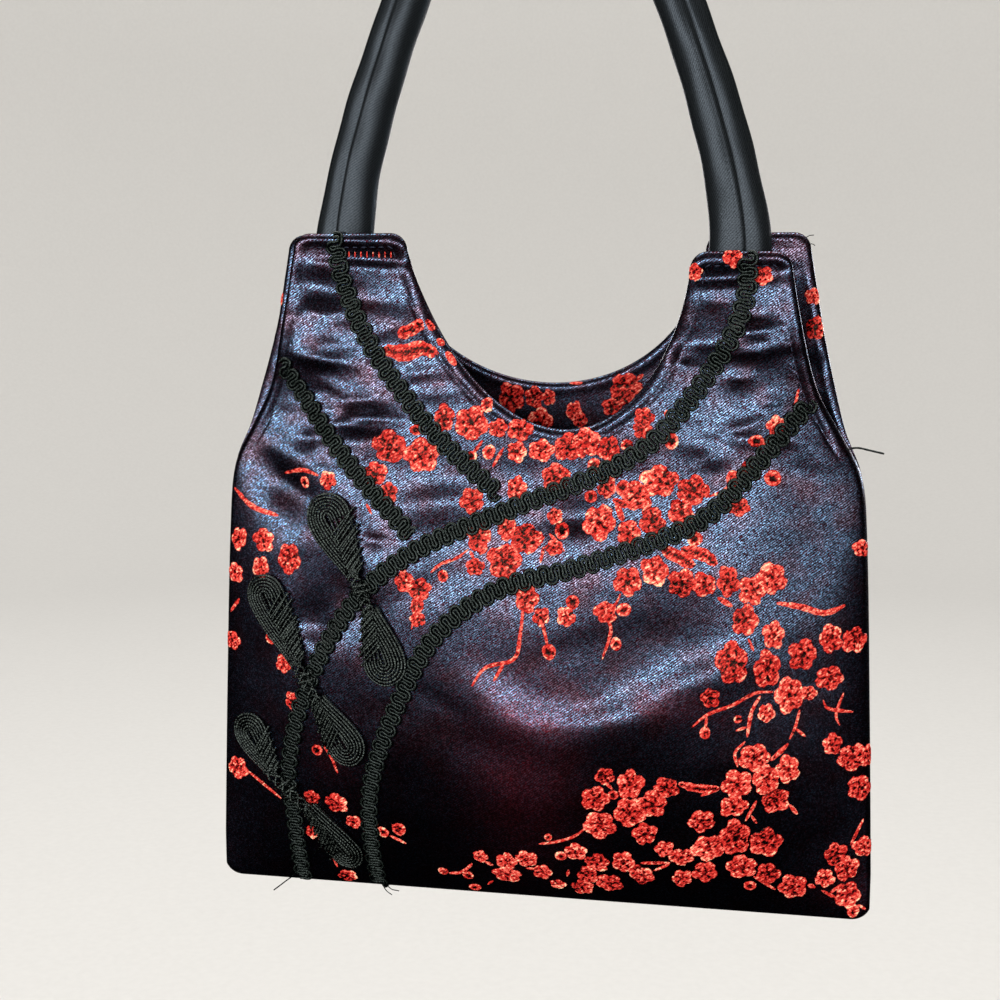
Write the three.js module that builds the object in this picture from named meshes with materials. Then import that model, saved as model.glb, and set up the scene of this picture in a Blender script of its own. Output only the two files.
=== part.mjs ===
// Tank-top evening purse of brocade satin with a rolled handle, scroll braid and corded leaves.
// Millimetres, +Z up, the front facing -Y. The origin is the inside of the handle's top, where the purse hangs.
// In the tables "across" runs from the middle line, positive to the right seen from the front, "up" from the hem.
import * as THREE from "three";

// Driving dimensions of the body
const BODY_TALL = 199; // hem to tab tops
const HEM_HALF = 99.5; // half of the hem's width
const HEM_CORNER = 6; // radius of the two lower corners
const SIDE_FOOT = 14; // the side edge runs straight down from here into the lower corner
const WALL = 1.8; // face, interlining and facing of a panel together
const SEAM_GAP = 0.3; // between pieces that are sewn to each other
const SLIT_END = 138; // the side slits end here in a bar tack
const TAB_LEVEL = 178; // from here up the tabs hang flat
const TAB_GAP = 6; // half of the space between front and back tabs, which the handle's ends fill
const TAB_CORNER = 5; // radius of the tabs' corners
const FULLNESS = 0.85; // how roundly a panel closes to its side seams
const FOLD_FADE = 5; // folds die out where the hollow is thinner than this

// Driving dimensions of the handle and the trim
const HANDLE_RISE = 124; // tab tops to the inside of the handle's top
const HANDLE_ROUND = 13; // diameter of the rolled handle
const HANDLE_END_THICK = 2 * TAB_GAP - SEAM_GAP; // its ends fill the tabs
const BRAID_WIDE = 6.3;
const BRAID_THICK = 1.2;
const LEAF_THICK = 2;
const TRIM_STEP = 4; // length of braid between two sections
const TRIM_GAP = 0.4; // between the trim and the facets of the front panel

// Fineness of the solids
const NECK_STEPS = 8;
const CORNER_STEPS = 2;
const TAB_STEPS = 3;
const SIDE_STEPS = 12;
const SIDE_CROWDING = 1.6; // sets the side's columns closer together along the arm curve
const HANDLE_STEPS = 3; // sections between two rows of the handle's table
const HANDLE_SIDES = 12;
const LEAF_STEPS = 10;

const HANG_UP = BODY_TALL + HANDLE_RISE;

// Half width between the side edges. Above the slits the front is drawn in by its puckers.
const SIDE_EDGE = [
  { up: 0, front: HEM_HALF, back: HEM_HALF },
  { up: 60, front: 97.2, back: 97.2 },
  { up: 118, front: 94.4, back: 94.4 },
  { up: 132, front: 92.3, back: 92.4 },
  { up: 143, front: 86.4, back: 88 },
  { up: 155, front: 79.8, back: 84.8 },
  { up: 172, front: 75.2, back: 81 },
  { up: 200, front: 70, back: 76 },
];

// Half depth of the hollow on the middle line: fullest low down, closing to the hem and the tabs
const BELLY = [
  { up: 0, front: 0, back: 0 },
  { up: 8, front: 6.5, back: 5 },
  { up: 20, front: 13.5, back: 10 },
  { up: 40, front: 20.5, back: 15 },
  { up: 58, front: 23, back: 17 },
  { up: 90, front: 21.5, back: 16.5 },
  { up: 120, front: 17, back: 14.5 },
  { up: 144, front: 12.5, back: 11.5 },
  { up: 165, front: 9, back: 9 },
  { up: 180, front: TAB_GAP, back: TAB_GAP },
  { up: 200, front: TAB_GAP, back: TAB_GAP },
];

// The scooped necks. lean is how far the middle of the neck sits to the right, at its top and at its bottom.
const NECK = {
  front: { top: 195, half: 40.5, deep: 51, curve: 1.5, leanTop: 3.5, leanBottom: 10 },
  back: { top: 198.5, half: 46.5, deep: 43, curve: 2, leanTop: 1, leanBottom: 3 },
};
const TAB_TOP = {
  front: { left: BODY_TALL, right: 193.5 },
  back: { left: BODY_TALL, right: BODY_TALL },
};

// Share of each column's height at which a row of the panel runs, closer together at the hem and in the tabs
const ROWS = {
  front: [
    0, 0.03, 0.08, 0.15, 0.22, 0.29, 0.36, 0.44, 0.52, 0.59, 0.65, 0.7, 0.75, 0.79, 0.83, 0.87, 0.91, 0.955, 1,
  ],
  back: [0, 0.04, 0.1, 0.18, 0.27, 0.37, 0.47, 0.57, 0.66, 0.74, 0.81, 0.87, 0.93, 1],
};

// Main folds: middle, half length, half width, turn in degrees and how far the fold stands out or sinks in
const FOLDS = {
  front: [
    { across: -63, up: 160, long: 11, wide: 6, turn: -7, out: -1.6 },
    { across: -50, up: 147, long: 13, wide: 5, turn: -3, out: -1.7 },
    { across: 58, up: 169, long: 15, wide: 5, turn: -8, out: -1.9 },
    { across: 70, up: 152, long: 10, wide: 5, turn: 25, out: -1.2 },
    { across: -78, up: 126, long: 12, wide: 6, turn: -35, out: -1.2 },
    { across: -2, up: 64, long: 24, wide: 10, turn: -18, out: 1.8 },
    { across: 48, up: 68, long: 28, wide: 10, turn: 26, out: 1.8 },
  ],
  back: [
    { across: -60, up: 160, long: 14, wide: 7, turn: 8, out: -1.5 },
    { across: 60, up: 157, long: 14, wide: 7, turn: -8, out: -1.5 },
    { across: 6, up: 62, long: 40, wide: 12, turn: 6, out: 1.5 },
  ],
};

// Right half of the handle, from its sewn end to the top: wide is across the loop, thick from front to back
const HANDLE = [
  { across: 57.5, up: 183, wide: 17.5, thick: HANDLE_END_THICK },
  { across: 57.2, up: 199, wide: 17, thick: HANDLE_END_THICK },
  { across: 53.8, up: 218, wide: 15.2, thick: 12 },
  { across: 47.4, up: 240, wide: 14, thick: 12.4 },
  { across: 38.6, up: 264, wide: 13.4, thick: 12.8 },
  { across: 30, up: 287, wide: HANDLE_ROUND, thick: HANDLE_ROUND },
  { across: 21.5, up: 307, wide: HANDLE_ROUND, thick: HANDLE_ROUND },
  { across: 13.9, up: 321, wide: HANDLE_ROUND, thick: HANDLE_ROUND },
  { across: 7.8, up: 327.3, wide: HANDLE_ROUND, thick: HANDLE_ROUND },
  { across: 0, up: HANG_UP + HANDLE_ROUND / 2, wide: HANDLE_ROUND, thick: HANDLE_ROUND },
];

// Routes of the braids on the front, each row a point on the braid's middle line
const BRAIDS = {
  braid_1: [
    { across: -58.5, up: 198 },
    { across: -55.3, up: 183 },
    { across: -47.5, up: 167 },
    { across: -38, up: 154 },
    { across: -26, up: 140.5 },
    { across: -8, up: 125.5 },
  ],
  braid_2: [
    { across: 59.8, up: 192.5 },
    { across: 59.3, up: 180 },
    { across: 54, up: 166.5 },
    { across: 37, up: 143 },
    { across: 23, up: 133 },
    { across: -5, up: 121.3 },
    { across: -34.5, up: 107.3 },
    { across: -53, up: 90.3 },
    { across: -67.4, up: 63.5 },
    { across: -73.8, up: 39 },
    { across: -73, up: 24.5 },
    { across: -72.6, up: 1.5 },
  ],
  braid_3: [
    { across: -75.3, up: 161.5 },
    { across: -57, up: 136.6 },
    { across: -42, up: 121 },
    { across: -33.7, up: 112.9 },
  ],
  braid_4: [
    { across: 77.6, up: 152 },
    { across: 63, up: 134 },
    { across: 53, up: 122.6 },
    { across: 43, up: 116.2 },
    { across: 15, up: 105.8 },
    { across: -7.4, up: 99 },
    { across: -24.5, up: 86.2 },
    { across: -34.5, up: 69.6 },
    { across: -45, up: 43.3 },
    { across: -47.8, up: 28 },
    { across: -48.2, up: 1.5 },
  ],
};

// The leaves, from the narrow base beside the long braid to the round tip
const LEAVES = {
  leaf_1: { base: { across: -50.4, up: 100.4 }, tip: { across: -62.9, up: 123.3 }, wide: 14 },
  leaf_2: { base: { across: -46.5, up: 91.8 }, tip: { across: -41, up: 70 }, wide: 12 },
  leaf_3: { base: { across: -68.9, up: 72.6 }, tip: { across: -83.7, up: 97.7 }, wide: 13 },
  leaf_4: { base: { across: -62.8, up: 63.4 }, tip: { across: -49.8, up: 44.6 }, wide: 12.3 },
  leaf_5: { base: { across: -78.5, up: 37.2 }, tip: { across: -90.2, up: 54.2 }, wide: 12 },
  leaf_6: { base: { across: -67.8, up: 28.6 }, tip: { across: -53.4, up: 9 }, wide: 10.5 },
};

// Share of a leaf's full width and thickness along its length
const LEAF_FORM = [
  { along: 0, wide: 0.22, thick: 0.6 },
  { along: 0.35, wide: 0.55, thick: 0.9 },
  { along: 0.6, wide: 0.93, thick: 1 },
  { along: 0.78, wide: 1, thick: 1 },
  { along: 0.92, wide: 0.7, thick: 0.85 },
  { along: 1, wide: 0.24, thick: 0.6 },
];

// Smooth reading between the rows of a table
function readTable(rows, key, at, column) {
  const last = rows.length - 1;
  const slope = (i) => {
    const before = rows[Math.max(i - 1, 0)];
    const after = rows[Math.min(i + 1, last)];
    return (after[column] - before[column]) / (after[key] - before[key]);
  };
  const place = THREE.MathUtils.clamp(at, rows[0][key], rows[last][key]);
  const i = Math.max(rows.findLastIndex((row, n) => n < last && row[key] <= place), 0);
  const span = rows[i + 1][key] - rows[i][key];
  const t = (place - rows[i][key]) / span;
  const rise = rows[i + 1][column] - rows[i][column];
  const ease = t * t * (3 - 2 * t);
  const start = slope(i) * span * t * (1 - t) ** 2;
  const end = slope(i + 1) * span * t * t * (t - 1);
  return rows[i][column] + rise * ease + start + end;
}

const sideHalf = (face, up) => readTable(SIDE_EDGE, "up", up, face);

// Height of the hem, rounded up into the side edges
function hemUp(across) {
  const past = Math.max(Math.abs(across) - (HEM_HALF - HEM_CORNER), 0);
  return HEM_CORNER - Math.sqrt(HEM_CORNER ** 2 - past ** 2);
}

function foldAt(face, across, up) {
  let sum = 0;
  for (const fold of FOLDS[face]) {
    const turn = THREE.MathUtils.degToRad(fold.turn);
    const dx = across - fold.across;
    const dz = up - fold.up;
    const along = (dx * Math.cos(turn) + dz * Math.sin(turn)) / fold.long;
    const beside = (dz * Math.cos(turn) - dx * Math.sin(turn)) / fold.wide;
    sum += fold.out * Math.exp(-(along ** 2) - beside ** 2);
  }
  return sum;
}

// Distance of a panel's inner face from the middle plane
function hollow(face, across, up) {
  const reach = Math.min(Math.abs(across) / sideHalf(face, up), 1);
  const edge = TAB_GAP * THREE.MathUtils.smoothstep(up, SLIT_END, TAB_LEVEL);
  const middle = readTable(BELLY, "up", up, face);
  const pillow = edge + (middle - edge) * (1 - reach ** 2) ** FULLNESS;
  const fold = foldAt(face, across, up) * Math.min(pillow / FOLD_FADE, 1);
  return SEAM_GAP / 2 + pillow + fold;
}

// A closed mesh from points and triangles, turned so that its faces point out
function solid(points, triangles) {
  const volume = new THREE.Vector3();
  let sixfold = 0;
  for (let i = 0; i < triangles.length; i += 3) {
    const [a, b, c] = [points[triangles[i]], points[triangles[i + 1]], points[triangles[i + 2]]];
    sixfold += volume.crossVectors(a, b).dot(c);
  }
  const geometry = new THREE.BufferGeometry().setFromPoints(points);
  geometry.setIndex(sixfold < 0 ? triangles.toReversed() : triangles);
  geometry.computeVertexNormals();
  return geometry;
}

// Top edge of one half of a panel: up the neck, over the tab and down the arm curve and side seam
function halfEdge(face, hand) {
  const neck = NECK[face];
  const tabTop = TAB_TOP[face][hand > 0 ? "right" : "left"];
  const cornerUp = tabTop - TAB_CORNER;
  const edge = [];
  const fullTurn = Math.acos(((neck.top - cornerUp) / neck.deep) ** (neck.curve / 2));
  for (let i = 0; i <= NECK_STEPS; i++) {
    const turn = (fullTurn * i) / NECK_STEPS;
    const sunk = Math.cos(turn) ** (2 / neck.curve);
    const lean = THREE.MathUtils.lerp(neck.leanTop, neck.leanBottom, sunk);
    edge.push({ across: lean + hand * neck.half * Math.sin(turn), up: neck.top - neck.deep * sunk });
  }
  const inner = edge.at(-1).across + hand * TAB_CORNER;
  const outer = hand * (sideHalf(face, cornerUp) - TAB_CORNER);
  for (let i = 1; i <= CORNER_STEPS; i++) {
    const turn = (Math.PI / 2) * (i / CORNER_STEPS);
    edge.push({ across: inner - hand * TAB_CORNER * Math.cos(turn), up: cornerUp + TAB_CORNER * Math.sin(turn) });
  }
  for (let i = 1; i <= TAB_STEPS; i++) {
    edge.push({ across: THREE.MathUtils.lerp(inner, outer, i / TAB_STEPS), up: tabTop });
  }
  for (let i = 1; i <= CORNER_STEPS; i++) {
    const turn = (Math.PI / 2) * (i / CORNER_STEPS);
    edge.push({ across: outer + hand * TAB_CORNER * Math.sin(turn), up: cornerUp + TAB_CORNER * Math.cos(turn) });
  }
  for (let i = 1; i <= SIDE_STEPS; i++) {
    const up = THREE.MathUtils.lerp(cornerUp, SIDE_FOOT, (i / SIDE_STEPS) ** SIDE_CROWDING);
    edge.push({ across: hand * sideHalf(face, up), up });
  }
  return edge;
}

// One panel: columns from the hem to each point of the top edge, an outer and an inner face, and a closed rim
function panel(face) {
  const columns = [...halfEdge(face, -1).slice(1).reverse(), ...halfEdge(face, 1)];
  const rows = ROWS[face];
  const facing = face === "front" ? -1 : 1;
  const points = [];
  for (const wall of [WALL, 0]) {
    for (const { across, up } of columns) {
      for (const share of rows) {
        const height = THREE.MathUtils.lerp(hemUp(across), up, share);
        points.push(new THREE.Vector3(across, facing * (hollow(face, across, height) + wall), height));
      }
    }
  }
  const lastColumn = columns.length - 1;
  const lastRow = rows.length - 1;
  const inward = columns.length * rows.length;
  const id = (column, row) => column * rows.length + row;
  const triangles = [];
  for (let c = 0; c < lastColumn; c++) {
    for (let r = 0; r < lastRow; r++) {
      const [a, b, d, e] = [id(c, r), id(c + 1, r), id(c + 1, r + 1), id(c, r + 1)];
      triangles.push(a, b, d, a, d, e);
      triangles.push(a + inward, d + inward, b + inward, a + inward, e + inward, d + inward);
    }
  }
  const rim = [];
  for (let c = 0; c < lastColumn; c++) rim.push(id(c, 0));
  for (let r = 0; r < lastRow; r++) rim.push(id(lastColumn, r));
  for (let c = lastColumn; c > 0; c--) rim.push(id(c, lastRow));
  for (let r = lastRow; r > 0; r--) rim.push(id(0, r));
  rim.forEach((a, i) => {
    const b = rim[(i + 1) % rim.length];
    triangles.push(a, a + inward, b, b, a + inward, b + inward);
  });
  return solid(points, triangles);
}

// A closed solid through rings of points, each end closed by its own ring
function loft(rings) {
  const count = rings[0].length;
  const last = (rings.length - 1) * count;
  const triangles = [];
  for (let start = 0; start < last; start += count) {
    for (let i = 0; i < count; i++) {
      const a = start + i;
      const b = start + ((i + 1) % count);
      triangles.push(a, b, a + count, b, b + count, a + count);
    }
  }
  for (let i = 1; i + 1 < count; i++) {
    triangles.push(0, i + 1, i);
    triangles.push(last, last + i, last + i + 1);
  }
  return solid(rings.flat(), triangles);
}

// The rolled handle: round at the top, pressed flat where it enters the tabs
function handle() {
  const leftHalf = HANDLE.map((row) => ({ ...row, across: -row.across }));
  const table = [...leftHalf, ...HANDLE.slice(0, -1).reverse()];
  const path = new THREE.CatmullRomCurve3(table.map((row) => new THREE.Vector3(row.across, 0, row.up)));
  const section = new THREE.CatmullRomCurve3(table.map((row) => new THREE.Vector3(row.wide, row.thick, row.up)));
  const steps = (table.length - 1) * HANDLE_STEPS;
  const rings = [];
  for (let i = 0; i <= steps; i++) {
    const middle = path.getPoint(i / steps);
    const heading = path.getTangent(i / steps);
    const { x: wide, y: thick } = section.getPoint(i / steps);
    const ring = [];
    for (let n = 0; n < HANDLE_SIDES; n++) {
      const turn = (2 * Math.PI * n) / HANDLE_SIDES;
      const sideways = (wide / 2) * Math.cos(turn);
      const forward = (thick / 2) * Math.sin(turn);
      ring.push(new THREE.Vector3(heading.z * sideways, forward, -heading.x * sideways).add(middle));
    }
    rings.push(ring);
  }
  return loft(rings);
}

// Depth of the front panel's face at a place, seen from the front
const INTO_FRONT = new THREE.Vector3(0, 1, 0);
const VIEW_FROM = -100;
function frontFace(across, up) {
  const sight = new THREE.Raycaster(new THREE.Vector3(across, VIEW_FROM, up), INTO_FRONT);
  const [hit] = sight.intersectObject(frontPanel);
  return hit ? hit.point.y : -hollow("front", across, up) - WALL;
}

// A strip laid on the front panel along a route, with a low crown: size(along) gives its width and thickness
const CROWN = [
  { beside: -1, share: 0.6 },
  { beside: 0, share: 1 },
  { beside: 1, share: 0.6 },
];
function strip(route, steps, size) {
  const path = new THREE.CatmullRomCurve3(route.map(({ across, up }) => new THREE.Vector3(across, 0, up)));
  const rings = [];
  for (let i = 0; i <= steps; i++) {
    const middle = path.getPointAt(i / steps);
    const heading = path.getTangentAt(i / steps);
    const { wide, thick } = size(i / steps);
    const under = [];
    const over = [];
    for (const { beside, share } of CROWN) {
      const across = middle.x - (heading.z * beside * wide) / 2;
      const up = middle.z + (heading.x * beside * wide) / 2;
      const seat = frontFace(across, up) - TRIM_GAP;
      under.push(new THREE.Vector3(across, seat, up));
      over.unshift(new THREE.Vector3(across, seat - thick * share, up));
    }
    rings.push([...under, ...over]);
  }
  return loft(rings);
}

function braid(route) {
  let long = 0;
  for (let i = 1; i < route.length; i++) {
    long += Math.hypot(route[i].across - route[i - 1].across, route[i].up - route[i - 1].up);
  }
  return strip(route, Math.round(long / TRIM_STEP), () => ({ wide: BRAID_WIDE, thick: BRAID_THICK }));
}

function leaf({ base, tip, wide }) {
  return strip([base, tip], LEAF_STEPS, (along) => ({
    wide: wide * readTable(LEAF_FORM, "along", along, "wide"),
    thick: LEAF_THICK * readTable(LEAF_FORM, "along", along, "thick"),
  }));
}

const BROCADE = { color: 0x2c3347, roughness: 0.42, metalness: 0 };
const HANDLE_SATIN = { color: 0x1d2124, roughness: 0.45, metalness: 0 };
const BLACK_CORD = { color: 0x0e0e10, roughness: 0.6, metalness: 0 };

function piece(name, geometry, finish) {
  const mesh = new THREE.Mesh(geometry, new THREE.MeshStandardMaterial(finish));
  mesh.name = name;
  return mesh;
}

const frontPanel = piece("front_panel", panel("front"), BROCADE);

// The pieces stand on the hem's level, and the group hangs them from the handle's top
const hung = new THREE.Group();
hung.add(frontPanel);
hung.add(piece("back_panel", panel("back"), BROCADE));
hung.add(piece("handle", handle(), HANDLE_SATIN));
for (const [name, route] of Object.entries(BRAIDS)) hung.add(piece(name, braid(route), BLACK_CORD));
for (const [name, form] of Object.entries(LEAVES)) hung.add(piece(name, leaf(form), BLACK_CORD));
hung.position.z = -HANG_UP;

const purse = new THREE.Group();
purse.add(hung);

export default purse;
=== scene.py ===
# Tank-top evening purse of plum-blossom brocade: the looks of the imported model, hung by its handle.
# Metres, +Z up, the front facing -Y, the origin at the inside of the handle's top. Tables and sizes are in
# millimetres: "across" runs from the middle line to the right seen from the front, "up" from the hem.
import math
import random
from collections import namedtuple

import bmesh
import bpy
import numpy as np
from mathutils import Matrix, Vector
from mathutils.bvhtree import BVHTree


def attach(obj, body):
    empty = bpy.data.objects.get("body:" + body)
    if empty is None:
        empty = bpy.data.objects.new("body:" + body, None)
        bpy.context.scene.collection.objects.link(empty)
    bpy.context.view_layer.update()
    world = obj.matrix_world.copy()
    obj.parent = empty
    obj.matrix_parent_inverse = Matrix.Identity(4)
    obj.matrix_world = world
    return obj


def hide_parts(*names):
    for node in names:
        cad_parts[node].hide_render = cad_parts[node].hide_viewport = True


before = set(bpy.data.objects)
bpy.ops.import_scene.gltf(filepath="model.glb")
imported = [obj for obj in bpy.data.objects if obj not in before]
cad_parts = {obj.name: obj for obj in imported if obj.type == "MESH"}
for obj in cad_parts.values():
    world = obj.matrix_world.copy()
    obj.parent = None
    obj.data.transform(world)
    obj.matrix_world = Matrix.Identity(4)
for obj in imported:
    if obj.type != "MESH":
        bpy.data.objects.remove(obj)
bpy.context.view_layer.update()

MM = 0.001

# Sizes of the body, as in the solids
BODY_TALL = 199
HEM_HALF = 99.5
HEM_CORNER = 6
SIDE_FOOT = 14
WALL = 1.8
SEAM_GAP = 0.3
SEWN_GAP = 0.02  # between the two panels in their seam
SLIT_END = 138
TAB_LEVEL = 178
TAB_GAP = 6
TAB_CORNER = 5
FULLNESS = 0.85
HANDLE_RISE = 124
HANDLE_ROUND = 13
HANDLE_END_THICK = 2 * TAB_GAP - SEAM_GAP
HANG_UP = BODY_TALL + HANDLE_RISE

Width = namedtuple("Width", "up front back")
SIDE_EDGE = [
    Width(0, HEM_HALF, HEM_HALF),
    Width(60, 97.2, 97.2),
    Width(118, 94.4, 94.4),
    Width(132, 92.3, 92.4),
    Width(143, 86.4, 88),
    Width(155, 79.8, 84.8),
    Width(172, 75.2, 81),
    Width(200, 70, 76),
]

Depth = namedtuple("Depth", "up front back")
BELLY = [
    Depth(0, 0, 0),
    Depth(8, 6.5, 5),
    Depth(20, 13.5, 10),
    Depth(40, 20.5, 15),
    Depth(58, 23, 17),
    Depth(90, 21.5, 16.5),
    Depth(120, 17, 14.5),
    Depth(144, 12.5, 11.5),
    Depth(165, 9, 9),
    Depth(180, TAB_GAP, TAB_GAP),
    Depth(200, TAB_GAP, TAB_GAP),
]

Neck = namedtuple("Neck", "top half deep curve lean_top lean_bottom")
Face = namedtuple("Face", "name facing neck left_tab right_tab")
FRONT = Face("front", -1, Neck(195, 40.5, 51, 1.5, 3.5, 10), BODY_TALL, 193.5)
BACK = Face("back", 1, Neck(198.5, 46.5, 43, 2, 1, 3), BODY_TALL, BODY_TALL)

# Camera at the photograph's viewing angle
VIEW_AZIMUTH = math.radians(10.7)
VIEW_ELEVATION = math.radians(8.08)
VIEW_DISTANCE = 450
VIEW_AIM = Vector((-11.1, 0, 121.4 - HANG_UP))
LENS = 54.9
SENSOR = 36
PHOTO_SIDE = 1000

TO_CAMERA = Vector((
    math.sin(VIEW_AZIMUTH) * math.cos(VIEW_ELEVATION),
    -math.cos(VIEW_AZIMUTH) * math.cos(VIEW_ELEVATION),
    math.sin(VIEW_ELEVATION),
))
CAMERA_PLACE = (VIEW_AIM + TO_CAMERA * VIEW_DISTANCE) * MM


def make_camera():
    data = bpy.data.cameras.new("photo_view")
    data.sensor_width = SENSOR
    data.lens = LENS
    camera = bpy.data.objects.new("photo_view", data)
    camera.location = CAMERA_PLACE
    camera.rotation_mode = "QUATERNION"
    camera.rotation_quaternion = (-TO_CAMERA).to_track_quat("-Z", "Y")
    bpy.context.scene.collection.objects.link(camera)
    bpy.context.scene.camera = camera


def sight_line(px, py):
    """Direction from the camera through a pixel of the photograph."""
    right = Vector((math.cos(VIEW_AZIMUTH), math.sin(VIEW_AZIMUTH), 0))
    rise = right.cross(-TO_CAMERA)
    pixels_per_unit = LENS / SENSOR * PHOTO_SIDE
    sideways = (px - PHOTO_SIDE / 2) / pixels_per_unit
    upwards = (PHOTO_SIDE / 2 - py) / pixels_per_unit
    return (right * sideways + rise * upwards - TO_CAMERA).normalized()


make_camera()


# Small helpers for objects, nodes and tables
def piece(name, mesh, material=None):
    obj = bpy.data.objects.new(name, mesh)
    bpy.context.scene.collection.objects.link(obj)
    if material:
        mesh.materials.append(material)
    return obj


def new_mesh(name, verts, edges, faces):
    mesh = bpy.data.meshes.new(name)
    mesh.from_pydata(verts, edges, faces)
    return mesh


def face_outwards(mesh, weld=None):
    """Turns every face outwards, after points closer than weld are made one."""
    work = bmesh.new()
    work.from_mesh(mesh)
    if weld:
        bmesh.ops.remove_doubles(work, verts=work.verts, dist=weld)
    bmesh.ops.recalc_face_normals(work, faces=work.faces)
    work.to_mesh(mesh)
    work.free()


def smooth(mesh):
    mesh.polygons.foreach_set("use_smooth", [True] * len(mesh.polygons))
    mesh.update()
    return mesh


def feed(tree, node, inputs):
    """Gives a node's inputs, by name or number, a value or a link from a socket."""
    for socket, value in inputs.items():
        if isinstance(value, bpy.types.NodeSocket):
            tree.links.new(value, node.inputs[socket])
        else:
            node.inputs[socket].default_value = value


def add(tree, kind, settings=None, inputs=None):
    """Adds a node with its settings and inputs."""
    node = tree.nodes.new(kind)
    for name, value in (settings or {}).items():
        setattr(node, name, value)
    feed(tree, node, inputs or {})
    return node


def output(tree, kind, settings=None, inputs=None):
    """The first output of a new node."""
    return add(tree, kind, settings, inputs).outputs[0]


def reckon(tree, operation, *values):
    """The result of a Math node."""
    return output(tree, "ShaderNodeMath", {"operation": operation}, dict(enumerate(values)))


def combine(tree, operation, first, second):
    """The result of a Vector Math node on two vectors."""
    return output(tree, "ShaderNodeVectorMath", {"operation": operation}, {0: first, 1: second})


def scaled(tree, vector, factor):
    """A vector or a colour times a number."""
    return output(tree, "ShaderNodeVectorMath", {"operation": "SCALE"}, {0: vector, "Scale": factor})


def linear(hex_code):
    """Linear RGBA of an sRGB hex value."""
    channels = [int(hex_code[i:i + 2], 16) / 255 for i in (1, 3, 5)]
    return [c / 12.92 if c <= 0.04045 else ((c + 0.055) / 1.055) ** 2.4 for c in channels] + [1.0]


def read_table(rows, at, column):
    """Smooth reading between the rows of a table whose first column is the key."""
    keys = np.array([row[0] for row in rows], float)
    values = np.array([getattr(row, column) for row in rows], float)
    before = np.maximum(np.arange(len(rows)) - 1, 0)
    after = np.minimum(np.arange(len(rows)) + 1, len(rows) - 1)
    slopes = (values[after] - values[before]) / (keys[after] - keys[before])
    place = np.clip(at, keys[0], keys[-1])
    i = np.clip(np.searchsorted(keys, place, "right") - 1, 0, len(rows) - 2)
    span = keys[i + 1] - keys[i]
    t = (place - keys[i]) / span
    ease = t * t * (3 - 2 * t)
    start = slopes[i] * span * t * (1 - t) ** 2
    end = slopes[i + 1] * span * t * t * (t - 1)
    return values[i] + (values[i + 1] - values[i]) * ease + start + end


def smoothstep(low, high, at):
    t = np.clip((at - low) / (high - low), 0, 1)
    return t * t * (3 - 2 * t)


Station = namedtuple("Station", "along across up")


def smooth_route(points, step):
    """A smooth line through (across, up) points, with a point every step."""
    stations = [Station(0, *points[0])]
    for across, up in points[1:]:
        last = stations[-1]
        stations.append(Station(last.along + math.hypot(across - last.across, up - last.up), across, up))
    count = max(round(stations[-1].along / step), 2)
    along = np.linspace(0, stations[-1].along, count + 1)
    return np.stack([read_table(stations, along, "across"), read_table(stations, along, "up")], axis=1)


def between(tree, share, first, second):
    """A number between two others."""
    return output(tree, "ShaderNodeMix", {"data_type": "FLOAT"}, {0: share, 2: first, 3: second})


def blend(tree, share, first, second):
    """A colour between two others, each of them a hex value or a socket."""
    first, second = (linear(end) if isinstance(end, str) else end for end in (first, second))
    return add(tree, "ShaderNodeMix", {"data_type": "RGBA"}, {0: share, 6: first, 7: second}).outputs[2]


def remap(tree, value, low=0.0, high=1.0, to_low=0.0, to_high=1.0):
    """A number moved from one range to another."""
    return output(tree, "ShaderNodeMapRange", inputs={
        "Value": value, "From Min": low, "From Max": high, "To Min": to_low, "To Max": to_high,
    })


def noise(tree, coords, scale, detail=2.0):
    return output(tree, "ShaderNodeTexNoise", inputs={"Vector": coords, "Scale": scale, "Detail": detail})


def new_material(name):
    """A new material with its tree, shader and Object coordinates."""
    mat = bpy.data.materials.new(name)
    mat.use_nodes = True
    tree = mat.node_tree
    coords = add(tree, "ShaderNodeTexCoord").outputs["Object"]
    return mat, tree, tree.nodes["Principled BSDF"], coords


# Stage and light
FLOOR_DROP = 270  # the floor lies this far under the hem
SWEEP_START = 1900  # all round the purse the floor sweeps up into a backdrop
SWEEP_RADIUS = 900
BACKDROP_TOP = 3200
SWEEP_STEPS = 16
STAGE_SIDES = 64
PAPER_FIBRE = 180.0  # fibres in a metre


def stage_paper():
    """Matte background paper: pale and even, with a faint fibre."""
    mat, tree, shader, coords = new_material("background_paper")
    fibre = noise(tree, coords, PAPER_FIBRE, detail=3.0)
    feed(tree, shader, {
        "Base Color": blend(tree, fibre, "#d7d6d4", "#dfdedc"), "Roughness": 0.9, "Specular IOR Level": 0.1,
    })
    return mat


def make_stage():
    floor_up = -(HANG_UP + FLOOR_DROP)
    profile = [(SWEEP_START, floor_up)]
    for i in range(1, SWEEP_STEPS + 1):
        turn = math.pi / 2 * i / SWEEP_STEPS
        profile.append((
            SWEEP_START + SWEEP_RADIUS * math.sin(turn),
            floor_up + SWEEP_RADIUS * (1 - math.cos(turn)),
        ))
    profile.append((SWEEP_START + SWEEP_RADIUS, BACKDROP_TOP))
    verts = [(0, 0, floor_up * MM)]
    for out, up in profile:
        for side in range(STAGE_SIDES):
            turn = 2 * math.pi * side / STAGE_SIDES
            verts.append((out * math.cos(turn) * MM, out * math.sin(turn) * MM, up * MM))
    faces = []
    for side in range(STAGE_SIDES):
        after = (side + 1) % STAGE_SIDES
        faces.append((0, 1 + side, 1 + after))
        for ring in range(len(profile) - 1):
            low = 1 + ring * STAGE_SIDES
            high = low + STAGE_SIDES
            faces.append((low + side, high + side, high + after, low + after))
    floor = piece("floor", smooth(new_mesh("floor", verts, [], faces)), stage_paper())
    floor.visible_glossy = False  # the satin mirrors the dim room instead
    return floor


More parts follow.
